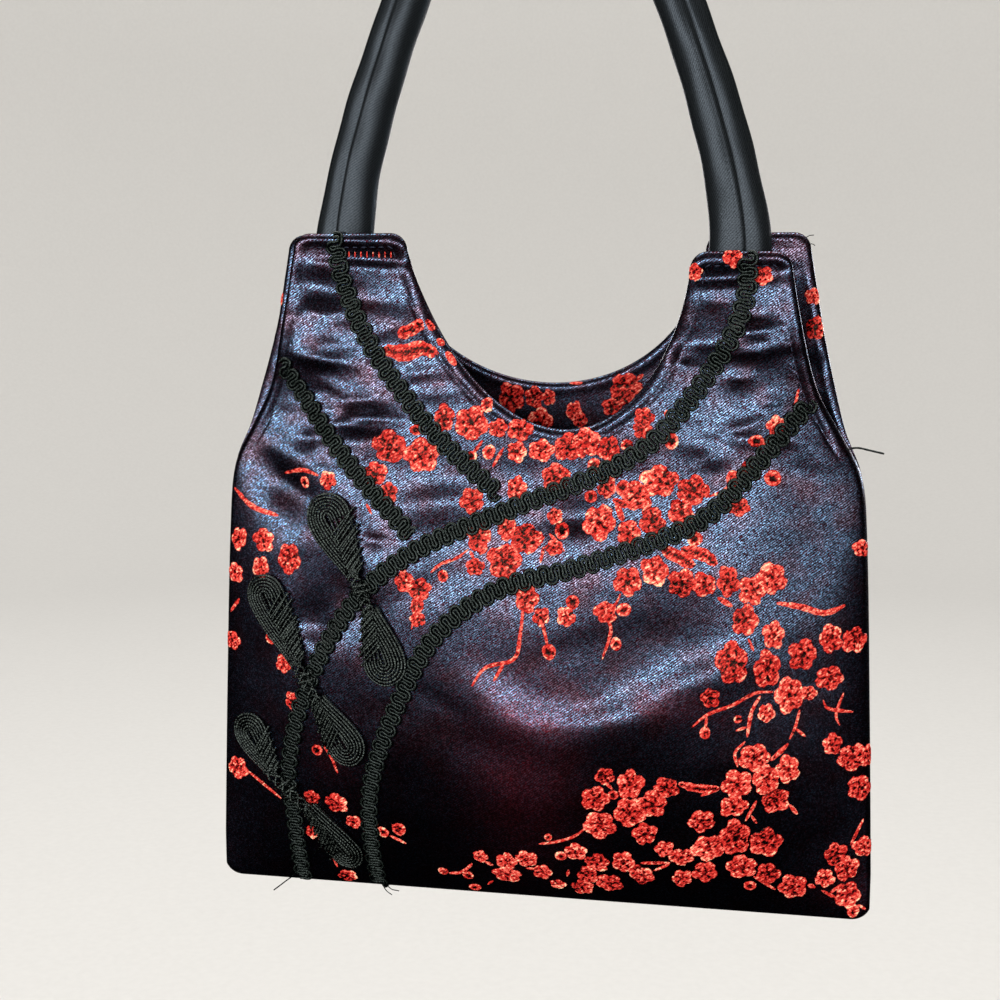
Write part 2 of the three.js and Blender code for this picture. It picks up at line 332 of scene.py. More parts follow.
Lamp = namedtuple("Lamp", "name place aim wide high watts tint lights")
LAMPS = [
    Lamp("key", (-250, -950, -75), (0, 0, -190), 1900, 190, 10.5, "#fbfbff", "purse"),
    Lamp("right_fill", (640, -860, -230), (0, 0, -200), 460, 260, 0.9, "#fbfbff", "purse"),
    Lamp("rear_key", (250, 950, -75), (0, 0, -190), 1900, 190, 10.5, "#fbfbff", "purse"),
    Lamp("top_fill", (0, 200, 2300), (0, 1900, 0), 3600, 1600, 125, "#fffdfa", "purse"),
    Lamp("backdrop", (0, 200, 2300), (0, 1900, 0), 3600, 1600, 60, "#fffdfa", "stage"),
    Lamp("front_backdrop", (0, -200, 2300), (0, -1900, 0), 3600, 1600, 60, "#fffdfa", "stage"),
]
PALE_WALL = "#d8d5d0"
DIM_ROOM = "#090a0c"


def make_light(receivers):
    for lamp in LAMPS:
        data = bpy.data.lights.new(lamp.name, "AREA")
        data.shape = "RECTANGLE"
        data.size = lamp.wide * MM
        data.size_y = lamp.high * MM
        data.energy = lamp.watts
        data.color = linear(lamp.tint)[:3]
        light = bpy.data.objects.new(lamp.name, data)
        light.location = Vector(lamp.place) * MM
        light.rotation_mode = "QUATERNION"
        light.rotation_quaternion = (Vector(lamp.aim) - Vector(lamp.place)).to_track_quat("-Z", "Y")
        light.visible_camera = False
        bpy.context.scene.collection.objects.link(light)
        light.light_linking.receiver_collection = receivers[lamp.lights]

    # The background is pale where the camera sees it, and a dim room in the satin's reflections
    world = bpy.data.worlds.new("studio")
    world.use_nodes = True
    tree = world.node_tree
    tree.nodes.clear()
    seen = add(tree, "ShaderNodeLightPath").outputs["Is Camera Ray"]
    tone = blend(tree, seen, DIM_ROOM, PALE_WALL)
    background = output(tree, "ShaderNodeBackground", inputs={"Color": tone})
    add(tree, "ShaderNodeOutputWorld", inputs={"Surface": background})
    bpy.context.scene.world = world
    bpy.context.scene.view_settings.view_transform = "Standard"


# Materials
TWILL_PITCH = 0.62  # between the satin's diagonal lines
TWILL_RISE = math.radians(36)  # of these lines, to the right on the front
FLOAT_LONG = 0.46  # length of a thread between two crossings
FLOAT_WIDE = 0.26
FLOAT_SHARE = 0.78  # of the single floats in the relief, beside the lines
NAVY_RELIEF = (0.43, 0.63)  # from the lower relief to the upper one, navy takes over from wine
SHOT_PATCH = 9  # size of the patches where the navy turns mauve
MAUVE_NOISE = (0.45, 0.68)
GLINT = 0.4  # size of the crossings that catch the light or not
WINE_COVER = 0.6  # share of the navy that is gone in the patches of painted wine sheen, where the wine weft is made to come through
WINE_DULL = 0.1  # how much rougher the cloth is in those painted sheen patches
WAVE_PERIOD = math.pi / 10  # of the Wave texture at scale 1


def attribute(tree, name):
    return add(tree, "ShaderNodeAttribute", {"attribute_name": name}).outputs["Fac"]


def slanting_floats(tree, coords, long, wide):
    """Coordinates turned along the twill, and a noise of single floats that lie along it."""
    turned = output(tree, "ShaderNodeMapping", inputs={"Vector": coords, "Rotation": (0, TWILL_RISE, 0)})
    stretched = output(tree, "ShaderNodeMapping", inputs={
        "Vector": turned, "Scale": (1 / (long * MM), 1 / MM, 1 / (wide * MM)),
    })
    return turned, noise(tree, stretched, 1.0, detail=1.0)


def twill_lines(tree, coords, direction, scale, distortion, detail):
    return add(tree, "ShaderNodeTexWave", {"bands_direction": direction}, {
        "Vector": coords, "Scale": scale, "Distortion": distortion, "Detail": detail,
    }).outputs["Fac"]


def cell_chance(tree, coords, size):
    """A chance number for each crossing or stitch of the cloth."""
    cells = add(tree, "ShaderNodeTexVoronoi", inputs={"Vector": coords, "Scale": 1 / (size * MM)})
    return output(tree, "ShaderNodeSeparateColor", inputs={0: cells.outputs["Color"]})


def bumped(tree, height, strength, distance):
    """The normal of a fine relief, its distance in millimetres."""
    return output(tree, "ShaderNodeBump", inputs={
        "Height": height, "Strength": strength, "Distance": distance * MM,
    })


def shot_satin():
    """Polyester satin woven navy over wine. The navy floats mirror the light in broken, slanting steel-blue
    dashes. Between them the duller wine weft shows as a burgundy half-tone, and the rest is near black. In
    the listed patches a brighter wine is painted in as half-tone sheen, and the navy thins there."""
    mat, tree, shader, coords = new_material("shot_satin")
    turned, floats = slanting_floats(tree, coords, FLOAT_LONG, FLOAT_WIDE)
    lines = twill_lines(tree, turned, "Z", WAVE_PERIOD / (TWILL_PITCH * MM), distortion=2.4, detail=2.0)
    relief = between(tree, FLOAT_SHARE, lines, floats)
    patches = noise(tree, coords, 1 / (SHOT_PATCH * MM))
    navy = blend(tree, remap(tree, patches, *MAUVE_NOISE), "#557189", "#625d6b")
    # wine attribute: painted half-tone sheen; in its patches the wine turns from its own dark colour to a
    # brighter burgundy and the navy thins
    wine_sheen_share = attribute(tree, "wine")
    wine = blend(tree, wine_sheen_share, "#300a12", "#7c2632")
    left = reckon(tree, "MULTIPLY_ADD", wine_sheen_share, -WINE_COVER, 1.0)
    navy_share = reckon(tree, "MULTIPLY", remap(tree, relief, *NAVY_RELIEF), left)
    glint = reckon(tree, "POWER", cell_chance(tree, coords, GLINT), 2.0)
    shade = remap(tree, glint, to_low=0.4, to_high=2.0)
    sleek = remap(tree, navy_share, to_low=0.4, to_high=0.225)
    feed(tree, shader, {
        "Base Color": scaled(tree, blend(tree, navy_share, wine, navy), shade),
        "Roughness": reckon(tree, "MULTIPLY_ADD", wine_sheen_share, WINE_DULL, sleek),
        "Normal": bumped(tree, relief, strength=0.35, distance=0.05),
        "Metallic": 1.0,
    })
    return mat


SLIT_LONG = 1.3  # dark slits between the stitches of the brocade figure
SLIT_WIDE = 0.42
PICK = 0.6  # size of single stitches, each a little lighter or darker
PICK_SHARE = 0.3
TONE_SHARE = 0.22  # how far the tone of a figure's points moves its colour
# the last, cream tone is a painted highlight, reached where the painted highlight lifts a blossom's tone
CORAL_TONES = [
    (0.25, "#0a0203"), (0.36, "#5c090b"), (0.47, "#b21d1b"), (0.6, "#d93a30"), (0.72, "#f47a68"),
    (0.88, "#ffdcae"),
]


def brocade_silk():
    """Coral weft floats of the brocade figure: slanting stitches with dark slits between them, dark eyes
    where the petals meet and paler rims. The top cream tone is a painted highlight, reached where the painted
    highlight on one side of some blossoms lifts their tone."""
    mat, tree, shader, coords = new_material("coral_brocade")
    _, floats = slanting_floats(tree, coords, SLIT_LONG, SLIT_WIDE)
    mottled = between(tree, PICK_SHARE, floats, cell_chance(tree, coords, PICK))
    level = reckon(tree, "MULTIPLY_ADD", attribute(tree, "tone"), TONE_SHARE, mottled)
    ramp = add(tree, "ShaderNodeValToRGB", inputs={0: level})
    elements = ramp.color_ramp.elements
    while len(elements) < len(CORAL_TONES):
        elements.new(0.5)
    for element, (place, hex_code) in zip(elements, CORAL_TONES):
        element.position = place
        element.color = linear(hex_code)
    feed(tree, shader, {
        "Base Color": ramp.outputs[0],
        "Normal": bumped(tree, level, strength=1.0, distance=0.2),
        "Roughness": 0.25,
        "Specular IOR Level": 0.15,
        "Specular Tint": linear("#ffcfb4"),
    })
    return mat


HANDLE_TWILL = 0.6  # between the twill lines of the handle's satin
HANDLE_BIAS = math.radians(40)
HANDLE_SPECKS = 2.2  # in a millimetre
SPECK_SHARE = 0.72  # of the fine specks in the relief, beside the lines


def handle_satin():
    """Black polyester satin on the bias: a fine slanting twill and a soft grey sheen along the crown."""
    mat, tree, shader, _ = new_material("black_satin")
    turned = output(tree, "ShaderNodeMapping", inputs={
        "Vector": output(tree, "ShaderNodeUVMap", {"uv_map": "strip"}),
        "Rotation": (0, 0, HANDLE_BIAS),
        "Scale": (1 / MM, 1 / MM, 1),
    })
    lines = twill_lines(tree, turned, "X", WAVE_PERIOD / HANDLE_TWILL, distortion=1.0, detail=1.0)
    relief = between(tree, SPECK_SHARE, lines, noise(tree, turned, HANDLE_SPECKS))
    feed(tree, shader, {
        "Base Color": blend(tree, relief, "#0b0c0d", "#4c5256"),
        "Normal": bumped(tree, relief, strength=0.5, distance=0.08),
        "Metallic": 0.8,
        "Roughness": 0.36,
        "Specular IOR Level": 0.1,
        "Specular Tint": linear("#181c1f"),
    })
    return mat


CORD_TWIST = 0.9  # length of one turn of a cord's wrapping
CORD_DRIFT = 2.4  # over this length the turns of neighbouring cords fall out of step
DRIFT_FAR = 30.0  # radians
CORD_FLUFF = 0.4
WRAP_SHARE = 0.3  # of the wrapping in the relief, beside the fluff
RIDGE_FULL = 0.9  # relief at which a ridge has its full tone
CROWN_START = 0.68  # a cord's flanks, which face outwards less than this, stay black as painted shade; the painted highlight lies only on the crown above it


def rayon_cord(name, painted_ridge_highlight, sharp, lustre):
    """Black rayon cord, wrapped: the wrapping slants round each cord in ridge lines, with a dull green-grey
    lustre. A grey painted highlight lies on each ridge along the cord's crown, and its flanks are painted
    black as shade. On the twisted cord of the leaves the painted highlight is sharper and lighter, as painted
    glints."""
    mat, tree, shader, coords = new_material(name)
    drift = reckon(tree, "MULTIPLY", noise(tree, coords, 1 / (CORD_DRIFT * MM)), DRIFT_FAR)
    turns = reckon(tree, "MULTIPLY_ADD", attribute(tree, "along"), 2 * math.pi / (CORD_TWIST * MM), drift)
    fluff = noise(tree, coords, 1 / (CORD_FLUFF * MM))
    relief = reckon(tree, "MULTIPLY_ADD", reckon(tree, "SINE", turns), WRAP_SHARE, fluff)
    # painted light: the ridge colour shows only on a cord's crown, where it faces outwards, and the flanks
    # are painted black
    crown = remap(tree, attribute(tree, "crown"), CROWN_START)
    ridges_and_painted_crown_light = reckon(tree, "MULTIPLY", remap(tree, relief, sharp, RIDGE_FULL), crown)
    feed(tree, shader, {
        "Base Color": blend(tree, ridges_and_painted_crown_light, "#020303", painted_ridge_highlight),
        "Normal": bumped(tree, relief, strength=0.7, distance=0.1),
        "Roughness": 0.25,
        "Specular IOR Level": lustre,
        "Specular Tint": linear("#dbeae2"),
    })
    return mat


THREAD_PLY = 0.3


def sewing_thread():
    """Spun polyester sewing thread, navy: dull, a little fuzzy, with the ply just showing."""
    mat, tree, shader, coords = new_material("sewing_thread")
    ply = noise(tree, coords, 1 / (THREAD_PLY * MM), detail=1.0)
    feed(tree, shader, {"Base Color": blend(tree, ply, "#0c0e18", "#343c55"), "Roughness": 0.6})
    return mat


SATIN = shot_satin()
CORAL = brocade_silk()
BLACK_SATIN = handle_satin()
# the second value of each is the colour of the painted highlight on the cords' crowns
GIMP_RAYON = rayon_cord("rayon_gimp", "#343e38", 0.2, 0.4)
LEAF_RAYON = rayon_cord("rayon_twist", "#6a746c", 0.36, 0.5)
THREAD = sewing_thread()


# Panels
NECK_STEPS = 46
CORNER_STEPS = 6
TAB_STEPS = 20
SIDE_STEPS = 70
SIDE_CROWDING = 1.4
RIM_STEPS = [0, 0.12, 0.35, 0.7, 1.15]  # rows this far in from an edge, for its rounding
RIM_END = 1.7
ROUND_EDGE = 1.6  # radius of the turned edge
BODY_ROWS = 138
ROW_CROWDING = 0.72  # sets the rows closer together towards the tabs

TOPSTITCH_IN = 4  # the topstitching runs this far in from the edge
STITCH_PITCH = 2.6
GROOVE_DEEP = 0.4
GROOVE_WIDE = 0.6
GROOVE_EVEN = 0.6  # mean depth of the groove, as a share of its depth at a stitch
WELT_HIGH = 0.3
FREE_FROM = SLIT_END - 4  # above this the edge is turned and stitched by itself
FREE_FULL = SLIT_END + 6
WELD = 1e-6  # metres

# Folds and puckers of the front, by their middle in the photograph. long is a half length, above and below
# are the half widths of the upper and lower wall, turn is degrees rising to the right, out stands proud or
# sinks in, and edge is the power that rounds the crest, or leaves it creased.
SOFT = 2
CREASED = 1
Crease = namedtuple("Crease", "px py long above below turn out edge", defaults=[SOFT])
CREASES = [
    Crease(320, 359, 11, 3, 5, -8, 2, CREASED),
    Crease(362, 416, 13, 3, 3.6, -4, 1.8, CREASED),
    Crease(356, 425, 9, 1.6, 2.6, -6, 0.9, CREASED),
    Crease(345, 297, 18, 8, 3.5, -4, -0.8),
    Crease(318, 350, 9, 12, 3, -6, 0.8),
    Crease(338, 388, 4, 2, 2, -28, 0.8, CREASED),
    Crease(314, 311, 4, 2, 2, -25, 0.7, CREASED),
    Crease(318, 285, 7, 4, 5, -10, -1.1),
    Crease(308, 439, 4, 2, 3, 5, -0.8),
    Crease(280, 412, 4, 1.2, 2, 3, -0.6),
    Crease(425, 372, 7, 1.2, 2.2, 8, -0.5),
    Crease(432, 392, 8, 1.2, 2.2, 6, -0.5),
    Crease(755, 330, 6, 3, 3.4, 8, 1.2, CREASED),
    Crease(712, 343, 18, 10, 3, -3, 1.4),
    Crease(758, 350, 9, 3, 3.4, 13, 1.2, CREASED),
    Crease(688, 358, 3.5, 2, 2.5, -5, 0.8, CREASED),
    Crease(740, 378, 4, 2.4, 3, 3, 0.9, CREASED),
    Crease(773, 401, 4.5, 2.6, 3.4, 10, 1, CREASED),
    Crease(750, 424, 7, 3, 4, 20, 1, CREASED),
    Crease(280, 482, 15, 5.5, 7, -28, -2.4),
    Crease(262, 455, 6, 2, 3, -20, -0.8),
    Crease(430, 505, 12, 4, 6, 10, -1),
    Crease(345, 600, 14, 8, 9, -40, -1.4),
    Crease(645, 652, 22, 11, 15, 24, -1.2),
    Crease(313, 626, 7, 9, 5, -12, -2.2),
    Crease(374, 541, 4, 1.6, 2, -5, -0.9, CREASED),
    Crease(577, 518, 10, 6, 4, 4, -1.3),
    Crease(503, 714, 13, 6, 12, -36, 1.6),
    Crease(575, 729, 22, 6.5, 14, 6, 1.6),
    Crease(525, 800, 20, 13, 12, 0, 1.6),
    Crease(690, 690, 24, 6, 8, 28, 1.8),
    Crease(800, 560, 14, 8, 8, 40, -0.9),
    Crease(360, 243, 16, 1.3, 1.3, -4, 0.5),
    Crease(366, 260, 15, 3.2, 1.1, -4, -1.2),
    Crease(722, 264, 13, 1.3, 1.3, 2, 0.5),
    Crease(722, 280, 13, 3.2, 1.1, 2, -1.1),
]

# Folds of the back, in millimetres
Fold = namedtuple("Fold", "across up long above below turn out edge", defaults=[SOFT])
BACK_FOLDS = [
    Fold(-60, 160, 12, 2.4, 5, 8, -1.6),
    Fold(60, 157, 12, 2.4, 5, -8, -1.6),
    Fold(80, 168, 9, 22, 6, 0, -2.2),
    Fold(52, 170, 8, 2, 4, 6, -1.1),
    Fold(-52, 172, 8, 2, 4, -5, -1.1),
    Fold(6, 62, 40, 10, 14, 6, 1.5),
    Fold(-40, 110, 20, 8, 10, 25, -1),
    Fold(45, 105, 22, 9, 10, -20, -1),
]

# Fine puckers that the topstitching draws into the tabs, scattered by a fixed seed. The ranges are of their
# up, across, long, wide, turn and depth.
PUCKERS_A_TAB = 32
PUCKER_SEED = 7
PUCKER_RANGES = [(132, 190), (42, 84), (2.5, 7), (0.9, 1.8), (-14, 14), (0.12, 0.42)]
PUCKER_BELOW = 1.5  # width of the lower wall, in widths of the upper one

# Patches of painted half-tone sheen, where the wine weft is made to come through brighter, by their middle in
# the photograph. wide and tall are halves.
Patch = namedtuple("Patch", "px py wide tall share")
PAINTED_WINE_SHEEN_PATCHES = [
    Patch(525, 800, 18, 28, 0.9),
    Patch(690, 712, 13, 5, 0.4),
    Patch(335, 760, 9, 9, 0.4),
    Patch(845, 890, 12, 7, 0.4),
]

# Soft dents of cloth that hangs loose, scattered over the body by fixed seeds. The ranges are of their
# across, up, long, wide, turn and out.
DENTS = 90
DENT_SEED = {"front": 23, "back": 31}
DENT_RANGES = [(-90, 90), (22, 158), (6, 18), (2.6, 6.5), (-28, 28), (-0.42, 0.34)]
DENT_BELOW = 1.2


def soft_dents(face):
    chance = random.Random(DENT_SEED[face.name])
    found = []
    for _ in range(DENTS):
        across, up, long, wide, turn, out = (chance.uniform(*span) for span in DENT_RANGES)
        found.append(Fold(across, up, long, wide, wide * DENT_BELOW, turn, out))
    return found


def seen_place(px, py, node):
    """(across, up) where the sight line through a pixel meets a CAD node."""
    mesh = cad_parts[node].data
    mesh.calc_loop_triangles()
    tree = BVHTree.FromPolygons([v.co for v in mesh.vertices], [t.vertices for t in mesh.loop_triangles])
    place = tree.ray_cast(CAMERA_PLACE, sight_line(px, py))[0]
    return place.x / MM, place.z / MM + HANG_UP


def fine_puckers():
    chance = random.Random(PUCKER_SEED)
    found = []
    for hand in (-1, 1):
        for _ in range(PUCKERS_A_TAB):
            up, across, long, wide, turn, sunk = (chance.uniform(*span) for span in PUCKER_RANGES)
            found.append(Fold(hand * across, up, long, wide, wide * PUCKER_BELOW, turn, -sunk))
    return found


def all_folds(face):
    if face is BACK:
        return BACK_FOLDS + fine_puckers() + soft_dents(face)
    placed = []
    for crease in CREASES:
        across, up = seen_place(crease.px, crease.py, "front_panel")
        placed.append(Fold(across, up, *crease[2:]))
    return placed + fine_puckers() + soft_dents(face)


def fold_depth(folds, across, up):
    total = np.zeros_like(across)
    for fold in folds:
        turn = math.radians(fold.turn)
        dx = across - fold.across
        dz = up - fold.up
        along = (dx * math.cos(turn) + dz * math.sin(turn)) / fold.long
        beside = dz * math.cos(turn) - dx * math.sin(turn)
        beside = beside / np.where(beside > 0, fold.above, fold.below)
        total += fold.out * np.exp(-along ** 2 - np.abs(beside) ** fold.edge)
    return total


def side_half(face, up):
    return read_table(SIDE_EDGE, up, face.name)


def hem_up(across):
    past = np.maximum(np.abs(across) - (HEM_HALF - HEM_CORNER), 0)
    return HEM_CORNER - np.sqrt(HEM_CORNER ** 2 - past ** 2)


def half_edge(face, hand):
    """Edge of half a panel as (across, up): up the neck, over the tab, down the arm curve and the side."""
    neck = face.neck
    tab_top = face.right_tab if hand > 0 else face.left_tab
    corner_up = tab_top - TAB_CORNER
    full_turn = math.acos(((neck.top - corner_up) / neck.deep) ** (neck.curve / 2))
    turn = np.linspace(0, full_turn, NECK_STEPS + 1)
    sunk = np.cos(turn) ** (2 / neck.curve)
    lean = neck.lean_top + (neck.lean_bottom - neck.lean_top) * sunk
    neck_line = np.stack([lean + hand * neck.half * np.sin(turn), neck.top - neck.deep * sunk], axis=1)
    inner = neck_line[-1, 0] + hand * TAB_CORNER
    outer = hand * (side_half(face, corner_up) - TAB_CORNER)
    quarter = np.linspace(0, math.pi / 2, CORNER_STEPS + 1)[1:]
    rise = corner_up + TAB_CORNER * np.sin(quarter)
    fall = corner_up + TAB_CORNER * np.cos(quarter)
    inner_corner = np.stack([inner - hand * TAB_CORNER * np.cos(quarter), rise], axis=1)
    outer_corner = np.stack([outer + hand * TAB_CORNER * np.sin(quarter), fall], axis=1)
    share = np.linspace(0, 1, TAB_STEPS + 1)[1:]
    tab_line = np.stack([inner + (outer - inner) * share, np.full(TAB_STEPS, tab_top)], axis=1)
    down = np.linspace(0, 1, SIDE_STEPS + 1)[1:] ** SIDE_CROWDING
    side_up = corner_up + (SIDE_FOOT - corner_up) * down
    side_line = np.stack([hand * side_half(face, side_up), side_up], axis=1)
    return np.concatenate([neck_line, inner_corner, tab_line, outer_corner, side_line])


def top_edge(face):
    return np.concatenate([half_edge(face, -1)[:0:-1], half_edge(face, 1)])


def distance_to(line, across, up):
    """Distance of every point to a line of points, and how far along the line it is nearest."""
    best = np.full(across.shape, np.inf)
    along = np.zeros(across.shape)
    run = 0.0
    for start, end in zip(line[:-1], line[1:]):
        way = end - start
        length = math.hypot(*way)
        t = np.clip(((across - start[0]) * way[0] + (up - start[1]) * way[1]) / length ** 2, 0, 1)
        gap = np.hypot(across - start[0] - t * way[0], up - start[1] - t * way[1])
        nearer = gap < best
        best = np.where(nearer, gap, best)
        along = np.where(nearer, run + t * length, along)
        run += length
    return best, along


def paint_wine_sheen(mesh):
    """Marks the patches of painted wine sheen on a panel, where the wine weft is made to come through."""
    places = np.empty(3 * len(mesh.vertices))
    mesh.vertices.foreach_get("co", places)
    across, _, up = places.reshape(-1, 3).T / MM
    share = np.zeros_like(up)
    for patch in PAINTED_WINE_SHEEN_PATCHES:
        middle, level = seen_place(patch.px, patch.py, "front_panel")
        sideways = (across - middle) / patch.wide
        upwards = (up + HANG_UP - level) / patch.tall
        share += patch.share * np.exp(-sideways ** 2 - upwards ** 2)
    mesh.attributes.new("wine", "FLOAT", "POINT").data.foreach_set("value", np.minimum(share, 1))


def panel_mesh(face):
    """One panel with its two faces, turned edges, topstitched welt, folds and puckers."""
    edge = top_edge(face)
    low = hem_up(edge[:, 0])[:, None]
    high = edge[:, 1][:, None]
    rim = np.array(RIM_STEPS)
    body = np.linspace(0, 1, BODY_ROWS) ** ROW_CROWDING
    middle = (low + RIM_END) + (high - low - 2 * RIM_END) * body
    up = np.concatenate([low + rim, middle, high - rim[::-1]], axis=1)
    across = np.repeat(edge[:, :1], up.shape[1], axis=1)

    to_top, along = distance_to(edge, across, up)
    hem = np.concatenate([edge[:1], np.stack([edge[:, 0], low[:, 0]], 1), edge[-1:]])
    to_hem, _ = distance_to(hem, across, up)
    to_edge = np.minimum(to_top, to_hem)
    for border in (np.s_[0, :], np.s_[-1, :], np.s_[:, 0], np.s_[:, -1]):
        to_edge[border] = 0

    reach = np.minimum(np.abs(across) / side_half(face, up), 1)
    slit = TAB_GAP * smoothstep(SLIT_END, TAB_LEVEL, up)
    pillow = slit + (read_table(BELLY, up, face.name) - slit) * (1 - reach ** 2) ** FULLNESS
    folds = fold_depth(all_folds(face), across, up)
    inner = SEWN_GAP / 2 + pillow + folds * np.minimum(pillow / TAB_GAP, 1)

    free = smoothstep(FREE_FROM, FREE_FULL, up)
    pull = GROOVE_EVEN + (1 - GROOVE_EVEN) * np.cos(2 * math.pi * along / STITCH_PITCH)
    groove = -GROOVE_DEEP * pull * np.exp(-((to_top - TOPSTITCH_IN) / GROOVE_WIDE) ** 2)
    welt = WELT_HIGH * np.exp(-((to_top - TOPSTITCH_IN / 2) / (TOPSTITCH_IN / 3)) ** 2)
    turned = np.sqrt(1 - (1 - np.minimum(to_edge / ROUND_EDGE, 1)) ** 2)
    closing = free * WALL / 2 * (1 - turned)
    outer_face = inner + closing + (WALL + free * (groove + welt)) * turned
    inner_face = inner + closing - free * welt * turned

    columns, rows = up.shape
    verts = np.concatenate([
        np.stack([across, face.facing * depth, up - HANG_UP], axis=2).reshape(-1, 3)
        for depth in (outer_face, inner_face)
    ]) * MM
    corner = (np.arange(columns - 1)[:, None] * rows + np.arange(rows - 1)).ravel()
    quads = np.stack([corner, corner + rows, corner + rows + 1, corner + 1], axis=1)
    both = np.concatenate([quads, quads[:, ::-1] + columns * rows])
    mesh = new_mesh(face.name + "_brocade", verts.tolist(), [], both.tolist())
    face_outwards(mesh, WELD)
    paint_wine_sheen(mesh)
    return smooth(mesh)


def cut_area(face):
    """Flat area of a panel's cut, in square metres."""
    edge = top_edge(face)
    outline = np.concatenate([edge, np.stack([edge[:, 0], hem_up(edge[:, 0])], axis=1)[::-1]])
    x, z = outline.T
    return abs(np.dot(x, np.roll(z, -1)) - np.dot(z, np.roll(x, -1))) / 2 * MM ** 2


front = piece("front_brocade", panel_mesh(FRONT), SATIN)
back = piece("back_brocade", panel_mesh(BACK), SATIN)


# Handle
Section = namedtuple("Section", "across up wide thick")
HANDLE = [
    Section(57.5, 183, 17.5, HANDLE_END_THICK),
    Section(57.2, 199, 17, HANDLE_END_THICK),
    Section(53.8, 218, 15.2, 12),
    Section(47.4, 240, 14, 12.4),
    Section(38.6, 264, 13.4, 12.8),
    Section(30, 287, HANDLE_ROUND, HANDLE_ROUND),
    Section(21.5, 307, HANDLE_ROUND, HANDLE_ROUND),
    Section(13.9, 321, HANDLE_ROUND, HANDLE_ROUND),
    Section(7.8, 327.3, HANDLE_ROUND, HANDLE_ROUND),
    Section(0, HANG_UP + HANDLE_ROUND / 2, HANDLE_ROUND, HANDLE_ROUND),
]
HANDLE_STEP = 1.0
HANDLE_SIDES = 72
LAP_TURN = math.radians(-102)  # the lapped seam runs down the front, a little to the outside of the loop
LAP_HIGH = 0.5
LAP_FADE = 3.5
LAP_GROOVE = 0.7
LAP_GROOVE_HALF = 0.5
LAP_VALLEY = 0.8  # the tube sinks in beside its seam, which leaves two soft rolls
LAP_VALLEY_HALF = 2.6
LAP_STITCH_IN = 1.4
LAP_STITCH_PITCH = 2.2
LAP_STITCH_DEEP = 0.28
LAP_STITCH_HALF = 0.55
Unevenness = namedtuple("Unevenness", "high long turns")
UNEVEN = [Unevenness(0.12, 7, 2), Unevenness(0.1, 3.1, -1)]

Along = namedtuple("Along", "along across up wide thick")


def handle_stations():
    left = [row._replace(across=-row.across) for row in HANDLE]
    stations = []
    run = 0.0
    for row in left + HANDLE[-2::-1]:
        if stations:
            run += math.hypot(row.across - stations[-1].across, row.up - stations[-1].up)
        stations.append(Along(run, *row))
    return stations


def handle_mesh():
    """The rolled tube: pressed flat into the tabs, with a lap that is edge-stitched along its front."""
    stations = handle_stations()
    count = round(stations[-1].along / HANDLE_STEP)
    along = np.linspace(0, stations[-1].along, count + 1)
    across, up, wide, thick = (read_table(stations, along, name)[:, None] for name in Along._fields[1:])
    heading = np.gradient(np.concatenate([across, up], axis=1), axis=0)
    heading /= np.linalg.norm(heading, axis=1)[:, None]

    turn = np.linspace(0, 2 * math.pi, HANDLE_SIDES, endpoint=False)[None, :]
    from_lap = (turn - LAP_TURN + math.pi) % (2 * math.pi) - math.pi
    beside = from_lap * HANDLE_ROUND / 2
    lap = np.where(beside > 0, LAP_HIGH * np.exp(-beside / LAP_FADE), 0)
    groove = -LAP_GROOVE * np.exp(-(beside / LAP_GROOVE_HALF) ** 2)
    valley = -LAP_VALLEY * np.exp(-(beside / LAP_VALLEY_HALF) ** 2)
    pull = 0.5 + 0.5 * np.cos(2 * math.pi * along[:, None] / LAP_STITCH_PITCH)
    stitches = -LAP_STITCH_DEEP * pull * np.exp(-((beside - LAP_STITCH_IN) / LAP_STITCH_HALF) ** 2)
    uneven = sum(wave.high * np.sin(along[:, None] / wave.long + wave.turns * turn) for wave in UNEVEN)
    proud = lap + (groove + valley) + stitches + uneven

    sideways = (wide / 2 + proud) * np.cos(turn)
    forward = (thick / 2 + proud) * np.sin(turn)
    points = np.stack([
        across + heading[:, 1:] * sideways, forward, up - heading[:, :1] * sideways - HANG_UP,
    ], axis=2).reshape(-1, 3) * MM
    faces = []
    for ring in range(count):
        for side in range(HANDLE_SIDES):
            a = ring * HANDLE_SIDES + side
            b = ring * HANDLE_SIDES + (side + 1) % HANDLE_SIDES
            faces.append((a, b, b + HANDLE_SIDES, a + HANDLE_SIDES))
    faces.append(tuple(reversed(range(HANDLE_SIDES))))
    faces.append(tuple(range(count * HANDLE_SIDES, (count + 1) * HANDLE_SIDES)))
    mesh = new_mesh("rolled_handle", points.tolist(), [], faces)
    strip = mesh.uv_layers.new(name="strip")
    uvs = np.zeros((len(mesh.loops), 2))
    corners = np.zeros(len(mesh.loops), int)
    mesh.loops.foreach_get("vertex_index", corners)
    uvs[:, 0] = (corners % HANDLE_SIDES) * math.pi * HANDLE_ROUND / HANDLE_SIDES * MM
    uvs[:, 1] = along[corners // HANDLE_SIDES] * MM
    strip.data.foreach_set("uv", uvs.ravel())
    face_outwards(mesh)
    return smooth(mesh)


handle = piece("rolled_handle", handle_mesh(), BLACK_SATIN)


# Geometry Nodes for cords and stitches that lie on a panel
CLEAR_OF_PANEL = 0.2  # metres, where the rays that find the panel start


def node_group(name, sockets):
    """A new Geometry Nodes group with named inputs, and the sockets that give them."""
    tree = bpy.data.node_groups.new(name, "GeometryNodeTree")
    tree.interface.new_socket("Geometry", in_out="OUTPUT", socket_type="NodeSocketGeometry")
    for label, kind in sockets:
        tree.interface.new_socket(label, in_out="INPUT", socket_type="NodeSocket" + kind)
    return tree, add(tree, "NodeGroupInput").outputs


